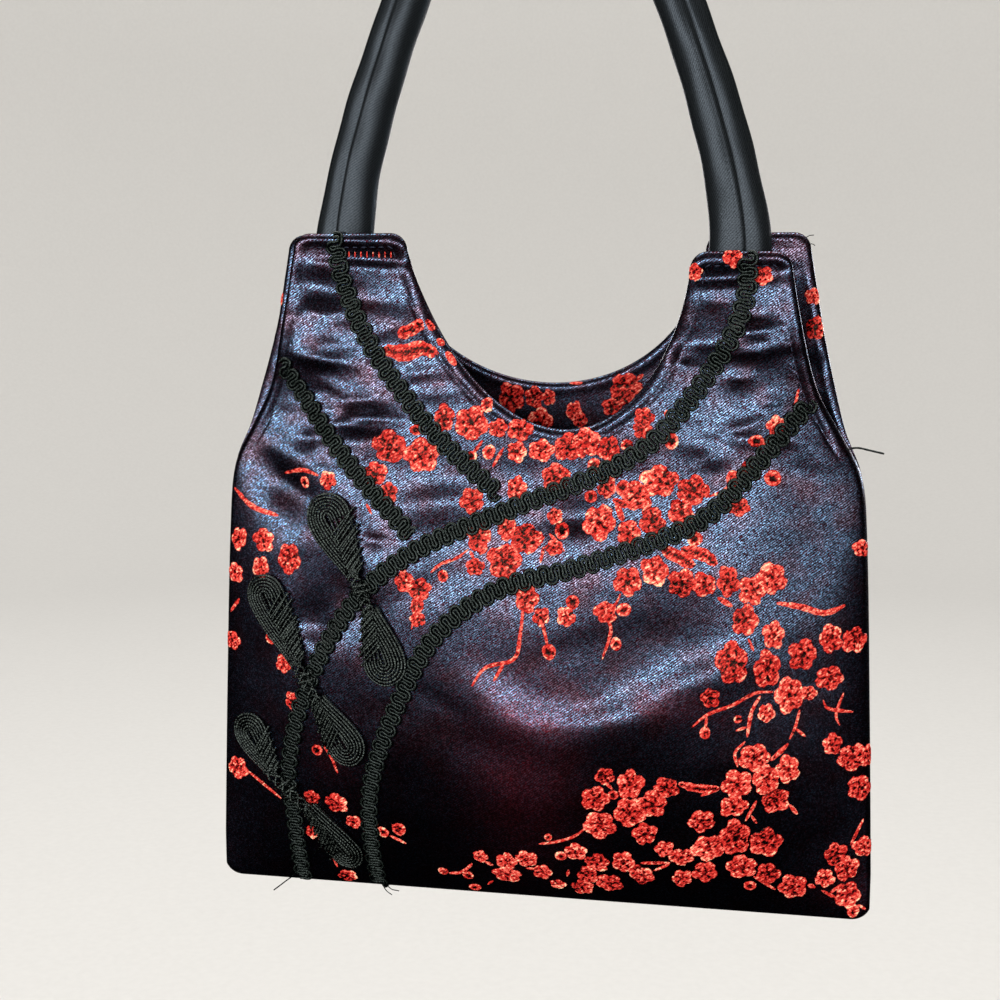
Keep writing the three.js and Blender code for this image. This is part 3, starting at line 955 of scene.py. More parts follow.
def lay_on_panel(tree, given, curve):
    """Drops a curve's points onto the panel along Y. A point's depth becomes its height above the cloth."""
    panel = add(tree, "GeometryNodeObjectInfo", inputs={"Object": given["Panel"]}).outputs["Geometry"]
    place = output(tree, "GeometryNodeInputPosition")
    x, y, z = add(tree, "ShaderNodeSeparateXYZ", inputs={0: place}).outputs
    away = reckon(tree, "MULTIPLY", given["Facing"], CLEAR_OF_PANEL)
    inwards = reckon(tree, "MULTIPLY", given["Facing"], -1.0)
    hit = add(tree, "GeometryNodeRaycast", inputs={
        "Target Geometry": panel,
        "Source Position": output(tree, "ShaderNodeCombineXYZ", inputs={0: x, 1: away, 2: z}),
        "Ray Direction": output(tree, "ShaderNodeCombineXYZ", inputs={1: inwards}),
        "Ray Length": 2 * CLEAR_OF_PANEL,
    }).outputs
    missed = output(tree, "FunctionNodeBooleanMath", {"operation": "NOT"}, {0: hit["Is Hit"]})
    height = reckon(tree, "ADD", reckon(tree, "ABSOLUTE", y), given["Lift"])
    seat = combine(tree, "ADD", hit["Hit Position"], scaled(tree, hit["Hit Normal"], height))
    kept = output(tree, "GeometryNodeDeleteGeometry", {"domain": "POINT"}, {
        "Geometry": curve, "Selection": missed,
    })
    return output(tree, "GeometryNodeSetPosition", inputs={"Geometry": kept, "Position": seat})


def store(tree, geometry, name, value):
    """Stores a number on every point."""
    return output(tree, "GeometryNodeStoreNamedAttribute", {"data_type": "FLOAT", "domain": "POINT"}, {
        "Geometry": geometry, "Name": name, "Value": value,
    })


def dress(tree, given, geometry):
    """Ends a tree with smooth shading and the material."""
    even = output(tree, "GeometryNodeSetShadeSmooth", inputs={"Geometry": geometry})
    dressed = output(tree, "GeometryNodeSetMaterial", inputs={
        "Geometry": even, "Material": given["Material"],
    })
    add(tree, "NodeGroupOutput", inputs={0: dressed})


def finish_cord(tree, given, curve):
    """Gives a curve its round section and its material, with its length and how far it faces outwards as
    attributes."""
    length = add(tree, "GeometryNodeSplineParameter").outputs["Length"]
    section = output(tree, "GeometryNodeCurvePrimitiveCircle", inputs={
        "Resolution": given["Sides"], "Radius": reckon(tree, "MULTIPLY", given["Cord"], 0.5),
    })
    turns = reckon(tree, "DIVIDE", length, given["Bead"])
    wave = reckon(tree, "SINE", reckon(tree, "MULTIPLY", turns, 2 * math.pi))
    tube = output(tree, "GeometryNodeCurveToMesh", inputs={
        "Curve": store(tree, curve, "along", length),
        "Profile Curve": section,
        "Scale": reckon(tree, "MULTIPLY_ADD", wave, given["Beading"], 1.0),
        "Fill Caps": True,
    })
    # how far the cord faces outwards, which the material uses to paint a highlight on the crown and shade on
    # the flanks
    crown = add(tree, "ShaderNodeVectorMath", {"operation": "DOT_PRODUCT"}, {
        0: output(tree, "GeometryNodeInputNormal"),
        1: output(tree, "ShaderNodeCombineXYZ", inputs={1: given["Facing"]}),
    })
    dress(tree, given, store(tree, tube, "crown", crown.outputs["Value"]))


PANEL_SOCKETS = [("Geometry", "Geometry"), ("Panel", "Object"), ("Facing", "Float"), ("Lift", "Float")]
CORD_SOCKETS = PANEL_SOCKETS + [
    ("Cord", "Float"), ("Sides", "Int"), ("Step", "Float"), ("Bead", "Float"), ("Beading", "Float"),
    ("Material", "Material"),
]


def given_curve(tree, given, step=None):
    """The given lines as curves, with points at the named step."""
    curve = output(tree, "GeometryNodeMeshToCurve", inputs={0: given["Geometry"]})
    if step is None:
        return curve
    return output(tree, "GeometryNodeResampleCurve", {"mode": "LENGTH"}, {
        "Curve": curve, "Length": given[step],
    })


def laid_cord_tree():
    """Cords along given lines."""
    tree, given = node_group("laid_cord", CORD_SOCKETS)
    finish_cord(tree, given, lay_on_panel(tree, given, given_curve(tree, given, "Step")))
    return tree


def free_thread_tree():
    """Loose threads along given lines, whose third number is their depth."""
    tree, given = node_group("free_thread", CORD_SOCKETS)
    finish_cord(tree, given, given_curve(tree, given))
    return tree


def gimp_tree():
    """Scroll gimp: two cords side by side that swing from edge to edge along a route in bulging loops."""
    sockets = CORD_SOCKETS + [("Pitch", "Float"), ("Swing", "Float"), ("Bulge", "Float")]
    tree, given = node_group("scroll_gimp", sockets)
    run = add(tree, "GeometryNodeSplineParameter").outputs["Length"]
    waves = reckon(tree, "DIVIDE", run, given["Pitch"])
    sway = reckon(tree, "SINE", reckon(tree, "MULTIPLY", waves, 2 * math.pi))
    lean = reckon(tree, "SINE", reckon(tree, "MULTIPLY", waves, 4 * math.pi))
    ahead = output(tree, "GeometryNodeInputTangent")
    beside = combine(tree, "CROSS_PRODUCT", ahead, (0, 1, 0))
    swung = scaled(tree, beside, reckon(tree, "MULTIPLY", sway, given["Swing"]))
    bulged = scaled(tree, ahead, reckon(tree, "MULTIPLY", lean, given["Bulge"]))
    scroll = output(tree, "GeometryNodeSetPosition", inputs={
        "Geometry": given_curve(tree, given, "Step"), "Offset": combine(tree, "SUBTRACT", swung, bulged),
    })
    pair = add(tree, "GeometryNodeJoinGeometry")
    for half in (-0.5, 0.5):
        outward = scaled(tree, beside, reckon(tree, "MULTIPLY", given["Cord"], half))
        cord = output(tree, "GeometryNodeSetPosition", inputs={"Geometry": scroll, "Offset": outward})
        tree.links.new(cord, pair.inputs[0])
    finish_cord(tree, given, lay_on_panel(tree, given, pair.outputs[0]))
    return tree


SPINDLE = {"Segments": 6, "Rings": 6, "Radius": 0.5}


def stitch_tree():
    """Running stitches along given lines: a spindle of thread at every pitch, turned along the line."""
    sockets = PANEL_SOCKETS + [
        ("Pitch", "Float"), ("Stitch", "Float"), ("Thread", "Float"), ("Material", "Material"),
    ]
    tree, given = node_group("running_stitch", sockets)
    ahead = output(tree, "GeometryNodeInputTangent")
    thread = given["Thread"]
    sewn = output(tree, "GeometryNodeInstanceOnPoints", inputs={
        "Points": lay_on_panel(tree, given, given_curve(tree, given, "Pitch")),
        "Instance": output(tree, "GeometryNodeMeshUVSphere", inputs=SPINDLE),
        "Rotation": output(tree, "FunctionNodeAlignRotationToVector", {"axis": "X"}, {"Vector": ahead}),
        "Scale": output(tree, "ShaderNodeCombineXYZ", inputs={0: given["Stitch"], 1: thread, 2: thread}),
    })
    dress(tree, given, output(tree, "GeometryNodeRealizeInstances", inputs={0: sewn}))
    return tree


def grow(name, tree, lines, values):
    """Runs a tree on lines of (across, up, height) points and returns the plain mesh as a piece."""
    verts = []
    edges = []
    for line in lines:
        first = len(verts)
        verts += [(point[0] * MM, point[2] * MM, (point[1] - HANG_UP) * MM) for point in line]
        edges += [(i, i + 1) for i in range(first, len(verts) - 1)]
    carrier = piece(name + "_lines", new_mesh(name + "_lines", verts, edges, []))
    modifier = carrier.modifiers.new(name, "NODES")
    modifier.node_group = tree
    inputs = [item for item in tree.interface.items_tree if item.in_out == "INPUT"]
    sockets = {item.name: item.identifier for item in inputs}
    for label, value in values.items():
        modifier[sockets[label]] = value
    graph = bpy.context.evaluated_depsgraph_get()
    grown = bpy.data.meshes.new_from_object(carrier.evaluated_get(graph))
    grown.name = name
    bpy.data.objects.remove(carrier)
    return piece(name, grown)


LAID_CORD = laid_cord_tree()
FREE_THREAD = free_thread_tree()
GIMP = gimp_tree()
STITCHES = stitch_tree()


# Braids
GIMP_CORD = 1.05
GIMP_PITCH = 3.95
GIMP_SWING = 2.1
GIMP_BULGE = 0.52
GIMP_STEP = 0.21
GIMP_SIDES = 6
GIMP_SEAT = 0.45  # height of a cord's middle over the cloth, as a share of its thickness
BRAIDS = [
    [(-58.5, 198), (-55.3, 183), (-47.5, 167), (-38, 154), (-26, 140.5), (-8, 125.5)],
    [(59.8, 192.5), (59.3, 180), (54, 166.5), (37, 143), (23, 133), (-5, 121.3), (-34.5, 107.3), (-53, 90.3),
     (-67.4, 63.5), (-73.8, 39), (-73, 24.5), (-72.6, 1.5)],
    [(-75.3, 161.5), (-57, 136.6), (-42, 121), (-33.7, 112.9)],
    [(77.6, 152), (63, 134), (53, 122.6), (43, 116.2), (15, 105.8), (-7.4, 99), (-24.5, 86.2), (-34.5, 69.6),
     (-45, 43.3), (-47.8, 28), (-48.2, 1.5)],
]
ROUTE_STEP = 1.0


def flat_line(points, height=0.0):
    return [(across, up, height) for across, up in points]


gimp_braids = []
for number, route in enumerate(BRAIDS, 1):
    braid = grow(f"gimp_braid_{number}", GIMP, [flat_line(smooth_route(route, ROUTE_STEP))], {
        "Panel": front, "Facing": -1.0, "Lift": GIMP_CORD * GIMP_SEAT * MM, "Cord": GIMP_CORD * MM,
        "Sides": GIMP_SIDES, "Material": GIMP_RAYON, "Pitch": GIMP_PITCH * MM, "Swing": GIMP_SWING * MM,
        "Bulge": GIMP_BULGE * MM, "Step": GIMP_STEP * MM, "Bead": CORD_TWIST * MM, "Beading": 0.0,
    })
    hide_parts(f"braid_{number}")
    gimp_braids.append(braid)


# Leaves
Leaf = namedtuple("Leaf", "base tip wide")
LEAVES = [
    Leaf((-50.4, 100.4), (-62.9, 123.3), 14.8),
    Leaf((-46, 91.8), (-38.6, 69.4), 13.8),
    Leaf((-68.9, 72.6), (-83.7, 97.7), 13.6),
    Leaf((-62.8, 63.4), (-49.8, 44.6), 13),
    Leaf((-78.5, 37.2), (-90.2, 54.2), 12.8),
    Leaf((-67.8, 28.6), (-53.4, 9), 11.2),
]
LEAF_THICK = 2
LEAF_CORD = 0.95
LEAF_APART = 0.84  # a cord's thickness, as a share of the room it has
LEAF_SIDES = 6
LEAF_STEP = 0.24
LEAF_BEADING = 0.2
NECK_HALF = 2.2  # half the width of a leaf at its base
NECK_EASE = -0.25  # where the widening starts, as a share of the way to the round tip
EDGE_HEIGHT = 0.4  # of the dome at its edge, as a share of the middle
SHOE_START = 0.6
SHOE_STEP = 0.8
SHOE_PAST = 0.4  # how far a horseshoe may run past the leaf's middle line
SHOE_TURNS = 16
SHOE_DROP = 1.5  # how far the horseshoes reach down the right-hand side
SHOE_ROOM = 0.2  # cords' worth of room inside the smallest horseshoe
PLAIT_START = 1.2
PLAIT_PITCH = 1.1
PLAIT_LIFT = 0.4
PLAIT_POINTS = 7
PLAIT_INNER = 0.9  # the strands start this far past the middle line
PLAIT_SLANT = 0.8
PLAIT_SPREAD = 0.5  # slant that is added for each millimetre of half width
PLAIT_FOOT = 0.2
PLAIT_REACH = (0.92, 1.12)  # of every other strand, as a share of the half width
PLAIT_RAGGED = (-0.05, 0.08)
PLAIT_SHIFT = (-0.3, 0.3)
PLAIT_END = 0.4  # the strands end this share of the horseshoes' drop before the round tip
PLAIT_SEED = 5
PAD_LINES = 9
PAD_SPREAD = 0.85
PAD_START = 0.8
PAD_PAST = 3
PAD_LOW = 0.4
KNOT_HALF = 1.7
KNOT_TURNS = 1.5
KNOT_HIGH = 2.0
KNOT_WAVE = 0.45
KNOT_STEP = 0.5
KNOT_STRANDS = 3
KNOT_PAST = 2.5  # how far a knot runs into the leaves on both sides
WRAP_PLACES = (0.3, 0.48)
WRAP_POINTS = 11
WRAP_HALF = 3.3
WRAP_SLANT = 0.9
WRAP_FOOT = 0.5
WRAP_OVER = 0.7
WRAP_ROUND = 0.95


def leaf_point(leaf, far, beside, height):
    """A place on a leaf: far from its base towards its tip, and beside its axis to the left hand."""
    base = np.array(leaf.base, float)
    way = np.array(leaf.tip, float) - base
    way /= math.hypot(*way)
    across, up = base + way * far + np.array([-way[1], way[0]]) * beside
    return across, up, height


def round_middle(leaf):
    """Distance from the base to the middle of the round tip."""
    return math.dist(leaf.base, leaf.tip) - leaf.wide / 2


def leaf_half(leaf, far):
    """Half the width: a neck that widens into a round tip."""
    past = far - round_middle(leaf)
    if past > 0:
        return math.sqrt(max((leaf.wide / 2) ** 2 - past ** 2, 0.01))
    share = float(smoothstep(NECK_EASE, 1, far / round_middle(leaf)))
    return NECK_HALF + (leaf.wide / 2 - NECK_HALF) * share


def leaf_height(leaf, far, beside):
    """Height of the cords' middle over the cloth: domed across."""
    reach = min(abs(beside) / leaf_half(leaf, far), 1)
    dome = EDGE_HEIGHT + (1 - EDGE_HEIGHT) * math.sqrt(1 - reach ** 2)
    return (LEAF_THICK - LEAF_CORD / 2) * dome


def horseshoe(leaf, ring):
    """One cord round the tip: up the left-hand side from the plait, round, and a little down the other."""
    inset = (ring + 0.5) * LEAF_CORD
    middle = round_middle(leaf)
    places = []
    for far in np.arange(SHOE_START, middle, SHOE_STEP):
        beside = leaf_half(leaf, far) - inset
        if beside > -SHOE_PAST:
            places.append((far, beside))
    radius = leaf.wide / 2 - inset
    for turn in np.linspace(0, math.pi, SHOE_TURNS):
        places.append((middle + radius * math.sin(turn), radius * math.cos(turn)))
    places.append((middle - SHOE_DROP, -(leaf_half(leaf, middle - SHOE_DROP) - inset)))
    return [leaf_point(leaf, far, beside, leaf_height(leaf, far, beside)) for far, beside in places]


def plait_strand(leaf, end, reach):
    """One slanting strand from the middle of the leaf up and out to its right-hand edge."""
    half = leaf_half(leaf, end)
    slant = PLAIT_SLANT + PLAIT_SPREAD * half
    line = []
    for share in np.linspace(0, 1, PLAIT_POINTS):
        far = max(end - (1 - share) * slant, PLAIT_FOOT)
        beside = PLAIT_INNER - (PLAIT_INNER + half * reach) * share
        height = leaf_height(leaf, far, beside) + PLAIT_LIFT * (1 - share / 2)
        line.append(leaf_point(leaf, far, beside, height))
    return line


def leaf_lines(leaf):
    rings = int(leaf.wide / 2 / LEAF_CORD - SHOE_ROOM)
    lines = [horseshoe(leaf, ring) for ring in range(rings)]
    chance = random.Random(PLAIT_SEED)
    last = round_middle(leaf) - PLAIT_END * SHOE_DROP
    for n, end in enumerate(np.arange(PLAIT_START, last, PLAIT_PITCH)):
        reach = PLAIT_REACH[n % 2] + chance.uniform(*PLAIT_RAGGED)
        lines.append(plait_strand(leaf, end + chance.uniform(*PLAIT_SHIFT), reach))
    for share in np.linspace(-PAD_SPREAD, PAD_SPREAD, PAD_LINES):
        line = []
        for far in np.arange(PAD_START, round_middle(leaf) + PAD_PAST, 1.0):
            beside = share * leaf_half(leaf, far)
            line.append(leaf_point(leaf, far, beside, PAD_LOW * leaf_height(leaf, far, beside)))
        lines.append(line)
    return lines


def knot_lines(first, second):
    """Three plaited strands from one leaf's base over the braid to the other's, and two turns round them."""
    start = np.array(first.base, float)
    way = np.array(second.base, float) - start
    length = math.hypot(*way)
    way /= length
    side = np.array([-way[1], way[0]])
    lines = []
    for strand in range(KNOT_STRANDS):
        line = []
        for along in np.arange(-KNOT_PAST, length + KNOT_PAST, KNOT_STEP):
            turn = 2 * math.pi * (KNOT_TURNS * along / length + strand / KNOT_STRANDS)
            across, up = start + way * along + side * KNOT_HALF * math.sin(turn)
            line.append((across, up, KNOT_HIGH + KNOT_WAVE * math.sin(2 * turn)))
        lines.append(line)
    for share in WRAP_PLACES:
        line = []
        for swing in np.linspace(-1, 1, WRAP_POINTS):
            across, up = start + way * (share * length + WRAP_SLANT * swing) + side * WRAP_HALF * swing
            arch = math.sqrt(1 - WRAP_ROUND * swing ** 2)
            line.append((across, up, WRAP_FOOT + (KNOT_HIGH + WRAP_OVER) * arch))
        lines.append(line)
    return lines


corded_leaves = []
for number, leaf in enumerate(LEAVES, 1):
    lines = leaf_lines(leaf)
    if number % 2:
        lines += knot_lines(leaf, LEAVES[number])
    cords = grow(f"corded_leaf_{number}", LAID_CORD, lines, {
        "Panel": front, "Facing": -1.0, "Lift": 0.0, "Cord": LEAF_CORD * LEAF_APART * MM, "Sides": LEAF_SIDES,
        "Material": LEAF_RAYON, "Step": LEAF_STEP * MM, "Bead": CORD_TWIST * MM, "Beading": LEAF_BEADING,
    })
    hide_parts(f"leaf_{number}")
    corded_leaves.append(cords)


# Stitches along the turned edges
STITCH_LONG = 1.9
THREAD_THICK = 0.32


def stitch_route(face):
    """The topstitching of a panel: the free part of its edge, moved in."""
    edge = top_edge(face)
    free = edge[edge[:, 1] > SLIT_END]
    way = np.gradient(free, axis=0)
    way /= np.linalg.norm(way, axis=1)[:, None]
    return free + TOPSTITCH_IN * np.stack([way[:, 1], -way[:, 0]], axis=1)


topstitching = []
for face, panel in ((FRONT, front), (BACK, back)):
    topstitching.append(grow(face.name + "_topstitching", STITCHES, [flat_line(stitch_route(face))], {
        "Panel": panel, "Facing": float(face.facing), "Lift": 0.0, "Pitch": STITCH_PITCH * MM,
        "Stitch": STITCH_LONG * MM, "Thread": THREAD_THICK * MM, "Material": THREAD,
    }))


# Brocade figure: plum blossoms, buds, twigs and leaf blades of coral weft, by their places in the photograph.
# A blossom is (px, py) or (px, py, width in mm), a line is (width in mm, points).
BLOSSOM_WIDE = 8.6
TWIG = 1.1
BLADE = 4.2
Spray = namedtuple("Spray", "blossoms lines")
SPRAYS = [
    Spray([
        (628, 581), (655, 571), (682, 584), (704, 585, 7.6), (728, 581, 8), (753, 591), (772, 578, 9.4),
        (745, 621), (606, 612, 7), (624, 610, 4), (616, 644, 3.4),
    ], [
        (TWIG, [(621, 593), (615, 605), (606, 612), (611, 630), (602, 660)]),
        (2, [(776, 603), (801, 607), (825, 613), (846, 605)]),
        (BLADE, [(662, 549), (682, 559), (695, 567)]), (BLADE, [(680, 549), (706, 556), (717, 566)]),
        (1.8, [(717, 597), (733, 607)]), (TWIG, [(748, 638), (754, 652)]),
    ]),
    Spray([
        (774, 635, 7.4), (803, 655, 9.4), (831, 638), (855, 640), (830, 678), (767, 669, 9.6),
        (733, 663, 11), (789, 695, 9.6), (710, 698, 6), (766, 713, 5.6), (809, 693, 5), (738, 719, 2.4),
        (705, 733, 3.4), (832, 744, 6.4), (852, 757, 9), (860, 788, 8.4), (868, 755, 7),
    ], [
        (1.2, [(774, 692), (756, 693), (733, 705), (707, 715), (691, 728)]),
        (TWIG, [(707, 716), (705, 731)]), (1.3, [(761, 695), (752, 711), (747, 738)]),
        (TWIG, [(747, 727), (735, 731)]), (TWIG, [(800, 709), (795, 728), (789, 740)]),
        (TWIG, [(795, 728), (806, 737)]), (TWIG, [(823, 699), (827, 708), (854, 712)]),
        (TWIG, [(844, 692), (836, 715), (840, 726)]), (TWIG, [(746, 741), (735, 753), (738, 768)]),
        (1.6, [(789, 743), (779, 753), (770, 761)]),
    ]),
    Spray([
        (737, 785, 9.4), (755, 757, 9.2), (767, 779, 9.4), (788, 769, 8), (734, 806, 8), (775, 800, 8.6),
        (702, 821, 7.8), (708, 848, 10), (735, 837, 10.6), (765, 842, 10), (664, 849, 6), (682, 857, 7),
        (643, 875, 7.6), (682, 878, 7), (705, 872, 8.4), (742, 867, 9), (768, 873, 7.4), (792, 887, 8.6),
        (750, 886, 3.6),
    ], [
        (2.9, [(678, 783), (695, 788), (720, 789)]), (1.6, [(700, 796), (719, 788)]),
        (1.4, [(789, 804), (798, 815)]), (TWIG, [(757, 800), (745, 822)]), (TWIG, [(751, 815), (757, 824)]),
        (1.3, [(640, 863), (671, 863)]), (TWIG, [(653, 871), (670, 864)]), (TWIG, [(753, 876), (776, 890)]),
        (1.6, [(807, 884), (816, 888)]),
    ]),
    Spray([
        (605, 776, 6), (630, 784, 9.2), (595, 799), (613, 795, 3), (629, 812, 10), (600, 825, 10),
        (652, 805, 9), (666, 788, 7.2), (645, 834, 8), (548, 837, 2.6),
    ], [
        (TWIG, [(586, 828), (573, 837), (555, 842), (538, 844)]), (TWIG, [(605, 782), (613, 790)]),
    ]),
    Spray([
        (576, 852, 7.6), (561, 856, 3.6), (597, 863, 8), (623, 862, 8), (637, 872, 6.4), (587, 875, 7.4),
        (583, 887, 7.6), (609, 883, 8.6), (558, 884, 5), (543, 872, 6.4), (526, 859, 7.4), (506, 861, 7),
        (507, 874, 8.6), (480, 856, 5.2), (443, 871, 3.4), (468, 875, 3.6), (475, 887, 4),
    ], [
        (1.4, [(473, 863), (462, 872), (448, 873)]), (1.4, [(484, 861), (494, 866)]),
        (TWIG, [(569, 869), (567, 877)]), (TWIG, [(525, 868), (538, 869)]),
        (TWIG, [(494, 880), (487, 885)]),
    ]),
    Spray([
        (825, 878, 6.4), (836, 854, 7.6), (847, 868, 8), (848, 895, 8.6), (853, 911, 4), (864, 847, 7),
    ], [
        (TWIG, [(864, 818), (850, 846)]), (1.3, [(821, 890), (836, 898)]), (TWIG, [(829, 894), (842, 884)]),
        (TWIG, [(857, 904), (867, 910)]),
    ]),
    Spray([
        (444, 418, 7.6), (470, 423, 10.6), (389, 447, 10.4), (422, 456, 11), (375, 474, 8), (389, 492, 6),
        (416, 430, 3.6), (487, 405, 4), (498, 428, 6), (472, 456, 3), (489, 452, 4), (472, 501, 8),
    ], [
        (TWIG, [(504, 447), (492, 468)]), (TWIG, [(483, 440), (472, 455)]),
        (4.6, [(397, 335), (411, 330), (424, 321)]),
        (5.4, [(383, 349), (404, 353), (423, 348), (437, 356)]), (2.4, [(426, 319), (434, 331)]),
        (2.2, [(437, 338), (444, 346)]), (2.2, [(446, 351), (456, 366)]), (TWIG, [(372, 515), (366, 503)]),
    ]),
    Spray([
        (511, 398, 9), (534, 397, 6.6), (549, 397, 5), (520, 429, 7), (540, 422, 9), (517, 452, 6.4),
        (541, 450, 7.4), (556, 477, 8.6), (517, 488, 7), (568, 447, 8.4), (586, 443, 9), (609, 449, 7.6),
        (627, 445, 3.6), (594, 466, 4), (574, 411, 6), (580, 420, 5), (612, 407, 6), (624, 396, 6.6),
        (626, 386, 9), (601, 376, 5), (644, 417, 6.2), (643, 430, 5.4),
    ], [
        (1.2, [(569, 383), (583, 383)]), (1.4, [(667, 409), (665, 418)]), (1.4, [(635, 381), (644, 374)]),
    ]),
    Spray([
        (659, 481, 11), (692, 490, 9), (681, 513, 8.4), (637, 496, 8.6), (607, 487, 6.4), (623, 488, 4.4),
        (591, 496, 3.6), (599, 522, 10.4), (629, 533, 7.4), (652, 521, 8.4), (672, 441, 4.4),
        (695, 539, 4.6), (739, 507, 6), (773, 478, 4.6), (756, 441, 4), (777, 426, 6), (733, 479, 4.4),
        (747, 467, 3.6),
    ], [
        (2.4, [(612, 499), (630, 507)]), (2.2, [(616, 502), (623, 522)]),
        (TWIG, [(705, 498), (725, 490), (733, 478), (747, 467)]),
        (1.3, [(760, 450), (771, 436), (781, 421)]), (TWIG, [(794, 410), (799, 388)]),
    ]),
    Spray([
        (479, 537, 8.6), (504, 562, 10.6), (526, 539, 9.6), (507, 529, 6.6), (475, 567, 6), (443, 576, 3.4),
        (555, 516, 5), (562, 531, 4.4), (554, 548, 5), (404, 582, 6.6), (420, 588, 7.2), (417, 605, 4.6),
        (418, 619, 5),
    ], [
        (TWIG, [(469, 549), (457, 558), (441, 564), (430, 573)]), (TWIG, [(470, 550), (474, 560)]),
        (TWIG, [(549, 533), (565, 552)]), (TWIG, [(544, 546), (540, 564)]),
        (TWIG, [(419, 590), (416, 612), (411, 630)]),
    ]),
    Spray([
        (527, 598, 8.4), (541, 617, 5.6), (549, 652, 4.4), (566, 617, 6), (572, 602, 4),
    ], [
        (1.3, [(524, 600), (520, 636), (514, 659), (485, 668), (471, 687)]),
        (TWIG, [(541, 617), (549, 652)]), (TWIG, [(505, 662), (493, 682)]),
    ]),
    Spray([
        (239, 538, 7), (264, 540, 8), (289, 558, 9), (235, 572, 7), (261, 567, 7), (305, 482, 3.4),
        (328, 480, 5.6), (270, 638, 3.8), (284, 664, 6), (233, 640, 7), (292, 701, 5.6), (317, 750, 3.8),
        (238, 767, 8), (312, 797, 5.4), (337, 803, 7.4), (354, 822, 5), (312, 832, 5), (348, 875, 6),
        (399, 829, 4.6), (383, 832, 4),
    ], [
        (1.8, [(233, 486), (252, 506), (279, 516)]), (1.3, [(284, 473), (303, 470), (319, 476)]),
        (TWIG, [(323, 745), (331, 757), (338, 774)]), (1.3, [(247, 770), (265, 785), (282, 799)]),
        (TWIG, [(331, 852), (338, 868)]), (TWIG, [(389, 835), (407, 844)]), (1.4, [(230, 612), (240, 598)]),
    ]),
    Spray([
        (694, 272, 5), (733, 255, 6), (763, 276, 6), (816, 328, 7), (814, 296, 5), (862, 548, 6),
    ], [
        (TWIG, [(287, 262), (285, 276)]), (TWIG, [(283, 292), (281, 306)]),
        (TWIG, [(761, 249), (766, 262)]),
    ]),
    Spray([], [(0.6, [(px, 247 + px / 90), (px, 254 + px / 90)]) for px in range(349, 394, 6)]),
]

# Rings of a blossom and of a bud: their reach as a share of the radius, height over the cloth in millimetres,
# and the tone of the weave over a petal and between two petals, dark below zero and pale above
Ring = namedtuple("Ring", "reach high petal between")
BLOSSOM = [
    Ring(0.13, 0.14, -1, -1),
    Ring(0.3, 0.24, 0.1, -0.2),
    Ring(0.47, 0.2, 0.15, -1.8),
    Ring(0.7, 0.27, 0, -0.6),
    Ring(0.9, 0.2, 0.6, 0),
    Ring(1, -0.06, -0.3, -0.6),
]
BUD = [
    Ring(0.2, 0.1, -1.4, -1.4),
    Ring(0.55, 0.24, 0.1, -0.4),
    Ring(0.82, 0.2, 0.5, 0.3),
    Ring(1, -0.06, 0.2, 0.2),
]
FULL_BLOOM = 1.02  # makes up for what the scallops take off a blossom's width
BUD_WIDE = 4.8  # a figure narrower than this is a bud
PETALS = 5
STRETCH = (0.9, 1.14)  # least and most, as are the next four
PETAL_SIZE = (0.92, 1.1)
DEEPNESS = (-0.2, 0.4)
PAINTED_GLEAM = (-0.9, 0.9)  # a painted highlight on one side of a blossom; under zero there is none
RAGGED = (0.94, 1.06)
NOTCH = [0.78, 0.95, 1, 0.95]  # the outline between two petals and over one
ACROSS = [-1, -0.55, 0, 0.55, 1]  # places of the lines of points over a twig or a blade
SUNK = -0.06  # the rim of a figure dips into the cloth
PROUD = 0.24  # its crown stands over it
VEINED = 2.4  # a blade at least this wide has a dark midrib
VEIN_TONE = -0.9
BLADE_TONE = 0.35
BLADE_TIP = 0.35  # width of a twig or a blade at its ends, as a share of the middle
BLADE_SWELL = 0.6  # power of its widening
BLADE_RAGGED = (0.85, 1.15)
LONGEST = 60  # a line that the repeat breaks up is longer than this
FIGURE_SEED = 11
TRACE_STEP = 4  # pixels
DROP = 4 * MM  # rays that lay a figure start this far over the cloth
BACK_SHIFT = (58, 84)  # the back shows the same repeat, moved by this much
REPEAT = (206, 206)
EDGE_MARGIN = 4

Seat = namedtuple("Seat", "panel place normal")


def surface(obj):
    return BVHTree.FromPolygons([v.co for v in obj.data.vertices], [p.vertices for p in obj.data.polygons])


SURFACES = {"front": surface(front), "back": surface(back)}
Figure = namedtuple("Figure", "verts faces tones")
figures = {name: Figure([], [], []) for name in SURFACES}
chance = random.Random(FIGURE_SEED)


def seen_seat(px, py):
    """The cloth that is seen at a pixel of the photograph."""
    way = sight_line(px, py)
    hits = []
    for name, tree in SURFACES.items():
        place, normal, _, gap = tree.ray_cast(CAMERA_PLACE, way)
        if place:
            hits.append((gap, Seat(name, place, normal)))
    return min(hits, key=lambda hit: hit[0])[1] if hits else None


def back_seat(across, up):
    """The outside of the back panel at a place, or nothing near its edges."""
    for dx, dz in ((EDGE_MARGIN, 0), (-EDGE_MARGIN, 0), (0, EDGE_MARGIN), (0, -EDGE_MARGIN), (0, 0)):
        start = Vector(((across + dx) * MM, CLEAR_OF_PANEL, (up + dz - HANG_UP) * MM))
        place, normal, _, _ = SURFACES["back"].ray_cast(start, Vector((0, -1, 0)))
        if place is None:
            return None
    return Seat("back", place, normal)


def drape(seat, spot, height):
    """Lays a point beside a seat on the cloth, at a height over it."""
    tree = SURFACES[seat.panel]
    place, normal, _, _ = tree.ray_cast(spot + seat.normal * DROP, -seat.normal, 2 * DROP)
    if place is None:
        place, normal, _, _ = tree.find_nearest(spot)
    return place + normal * height * MM


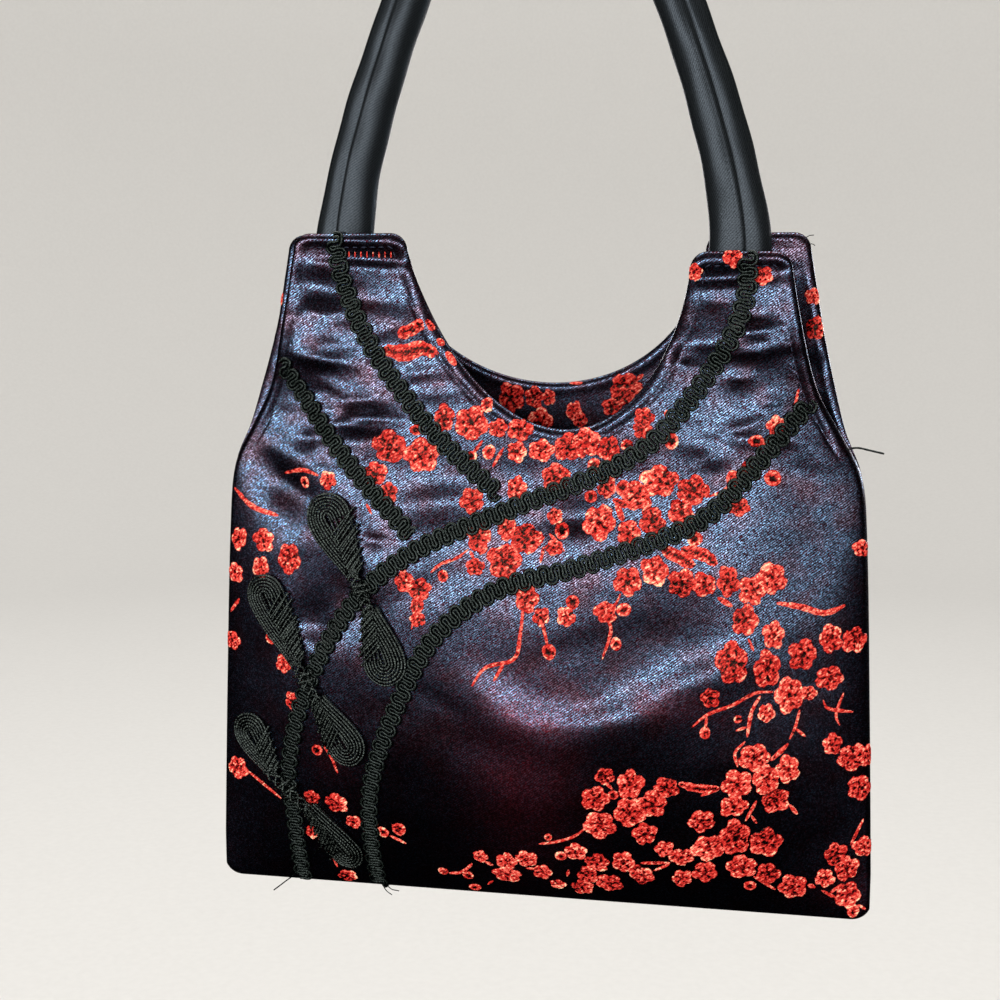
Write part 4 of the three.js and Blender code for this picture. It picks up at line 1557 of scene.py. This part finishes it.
def blossom(seat, wide):
    """Adds a scalloped round of rings to the figure of the seat's panel."""
    verts, faces, tones = figures[seat.panel]
    first = len(verts)
    right = Vector((-seat.normal.y, seat.normal.x, 0)).normalized()
    rise = seat.normal.cross(right)
    start = chance.uniform(0, 2 * math.pi)
    stretch = chance.uniform(*STRETCH)
    petals = [chance.uniform(*PETAL_SIZE) for _ in range(PETALS)]
    deep = chance.uniform(*DEEPNESS)
    # painted highlight: on some blossoms the tone is lifted on one side, towards a chosen turn
    painted_gleam = max(chance.uniform(*PAINTED_GLEAM), 0)
    painted_gleam_turn = chance.uniform(0, 2 * math.pi)
    rings = BUD if wide < BUD_WIDE else BLOSSOM
    wide *= FULL_BLOOM
    around = PETALS * len(NOTCH)
    for ring in rings:
        for step in range(around):
            turn = start + 2 * math.pi * step / around
            notch = NOTCH[step % len(NOTCH)] if rings is BLOSSOM else 1
            ragged = chance.uniform(*RAGGED) if ring is rings[-1] else 1
            radius = wide / 2 * ring.reach * notch * ragged * petals[step // len(NOTCH)] * MM
            spot = seat.place + (right * math.cos(turn) / stretch + rise * math.sin(turn) * stretch) * radius
            verts.append(drape(seat, spot, ring.high))
            tone = ring.petal if step % len(NOTCH) else ring.between
            tones.append(tone + deep + painted_gleam * ring.reach * math.cos(turn - painted_gleam_turn))
    faces.append(tuple(range(first, first + around)))
    for a in range(first, first + around * (len(rings) - 1), around):
        for step in range(around):
            after = (step + 1) % around
            faces.append((a + step, a + around + step, a + around + after, a + after))


def ribbon(seats, wide):
    """Adds a twig or a leaf blade along seats, widest in the middle."""
    verts, faces, tones = figures[seats[0].panel]
    first = len(verts)
    columns = len(ACROSS)
    for i, seat in enumerate(seats):
        ahead = seats[min(i + 1, len(seats) - 1)].place - seats[max(i - 1, 0)].place
        side = seat.normal.cross(ahead).normalized()
        swell = abs(math.sin(math.pi * i / (len(seats) - 1))) ** BLADE_SWELL
        fullness = BLADE_TIP + (1 - BLADE_TIP) * swell
        half = wide / 2 * fullness * chance.uniform(*BLADE_RAGGED) * MM
        for share in ACROSS:
            rim = abs(share) == 1 or i in (0, len(seats) - 1)
            verts.append(drape(seat, seat.place + side * half * share, SUNK if rim else PROUD))
            vein = share == 0 and wide >= VEINED
            tones.append(VEIN_TONE if vein else BLADE_TONE)
    for r in range(len(seats) - 1):
        for c in range(columns - 1):
            a = first + r * columns + c
            faces.append((a, a + columns, a + columns + 1, a + 1))


def on_back(seat):
    """Where the repeat brings a front seat on the back."""
    moved = []
    for value, shift, span, middle in (
        (seat.place.x / MM, BACK_SHIFT[0], REPEAT[0], 0),
        (seat.place.z / MM + HANG_UP, BACK_SHIFT[1], REPEAT[1], REPEAT[1] / 2),
    ):
        moved.append((value + shift - middle + span / 2) % span - span / 2 + middle)
    return back_seat(*moved)


def weave_figures():
    for spray in SPRAYS:
        for px, py, *wide in spray.blossoms:
            wide = wide[0] if wide else BLOSSOM_WIDE
            seat = seen_seat(px, py)
            if seat is None:
                continue
            blossom(seat, wide)
            behind = on_back(seat)
            if behind:
                blossom(behind, wide)
        for wide, points in spray.lines:
            seats = [seen_seat(*point) for point in smooth_route(points, TRACE_STEP)]
            if None in seats or len({seat.panel for seat in seats}) > 1:
                continue
            ribbon(seats, wide)
            if wide < TWIG:
                continue
            behind = [on_back(seat) for seat in seats]
            if None not in behind and math.dist(behind[0].place, behind[-1].place) < LONGEST * MM:
                ribbon(behind, wide)


weave_figures()
brocade = []
for name, figure in figures.items():
    mesh = new_mesh(name + "_blossoms", figure.verts, [], figure.faces)
    # the tone carries the weave's marks and the painted highlight of the blossoms
    mesh.attributes.new("tone", "FLOAT", "POINT").data.foreach_set("value", figure.tones)
    brocade.append(piece(name + "_blossoms", smooth(mesh), CORAL))


# Loose threads, as lines of (across, up, depth), where the front is on the negative side
Loose = namedtuple("Loose", "thick points")
LOOSE_THREADS = [
    Loose(0.6, [(88.2, 138.6, -2), (91, 139.2, -3), (94.5, 138.6, -3.6), (98.3, 137.8, -3.8)]),
    Loose(0.4, [(-63, 16.5, -9.4), (-67.7, 11.5, -8), (-72, 6.3, -5.6), (-76, 2, -3.4), (-79.5, -1, -2.4),
                (-83, -3.9, -2)]),
    Loose(0.3, [(-48, 3, -4.4), (-46.6, -0.8, -2.6), (-44.6, -2.4, -2.4)]),
    Loose(0.3, [(-47, 2.6, -4.2), (-45, -0.4, -2.4), (-42.4, -1, -2.2)]),
    Loose(0.24, [(74.4, 196.6, 7.4), (76.2, 198, 7.8), (77.6, 198.2, 8)]),
    Loose(0.24, [(75.2, 195, 7.4), (77, 195.8, 7.8), (78, 195.3, 8.2)]),
]
# The first threads hang from the front, the rest from the back's right tab
FRONT_THREADS = 4
FREE_SIDES = 5
FREE_STEP = 0.6
FREE_BEADING = 0.08
loose_threads = []
for number, loose in enumerate(LOOSE_THREADS, 1):
    route = smooth_route([point[:2] for point in loose.points], FREE_STEP)
    given_at = np.linspace(0, 1, len(loose.points))
    depth = np.interp(np.linspace(0, 1, len(route)), given_at, [point[2] for point in loose.points])
    line = [(across, up, y) for (across, up), y in zip(route, depth)]
    loose_threads.append(grow(f"loose_thread_{number}", FREE_THREAD, [line], {
        "Cord": loose.thick * MM, "Sides": FREE_SIDES, "Bead": CORD_TWIST * MM, "Beading": FREE_BEADING,
        "Material": GIMP_RAYON,
    }))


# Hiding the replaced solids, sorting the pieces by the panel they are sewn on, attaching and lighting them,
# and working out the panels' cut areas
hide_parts("front_panel")
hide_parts("back_panel")
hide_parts("handle")

sewn_on = {
    face.name: [obj for obj in (*topstitching, *brocade) if obj.name.startswith(face.name)]
    for face in (FRONT, BACK)
}
sewn_on[FRONT.name] += [*gimp_braids, *corded_leaves, *loose_threads[:FRONT_THREADS]]
sewn_on[BACK.name] += loose_threads[FRONT_THREADS:]
purse = [front, back, handle, *gimp_braids, *corded_leaves, *topstitching, *brocade, *loose_threads]
for obj in purse:
    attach(obj, "root")

receivers = {}
for name, lit in (("purse", purse), ("stage", [make_stage()])):
    receivers[name] = bpy.data.collections.new(f"lit_{name}")
    for obj in lit:
        receivers[name].objects.link(obj)
make_light(receivers)

for cloth, face in ((front, FRONT), (back, BACK)):
    cut_area(face)
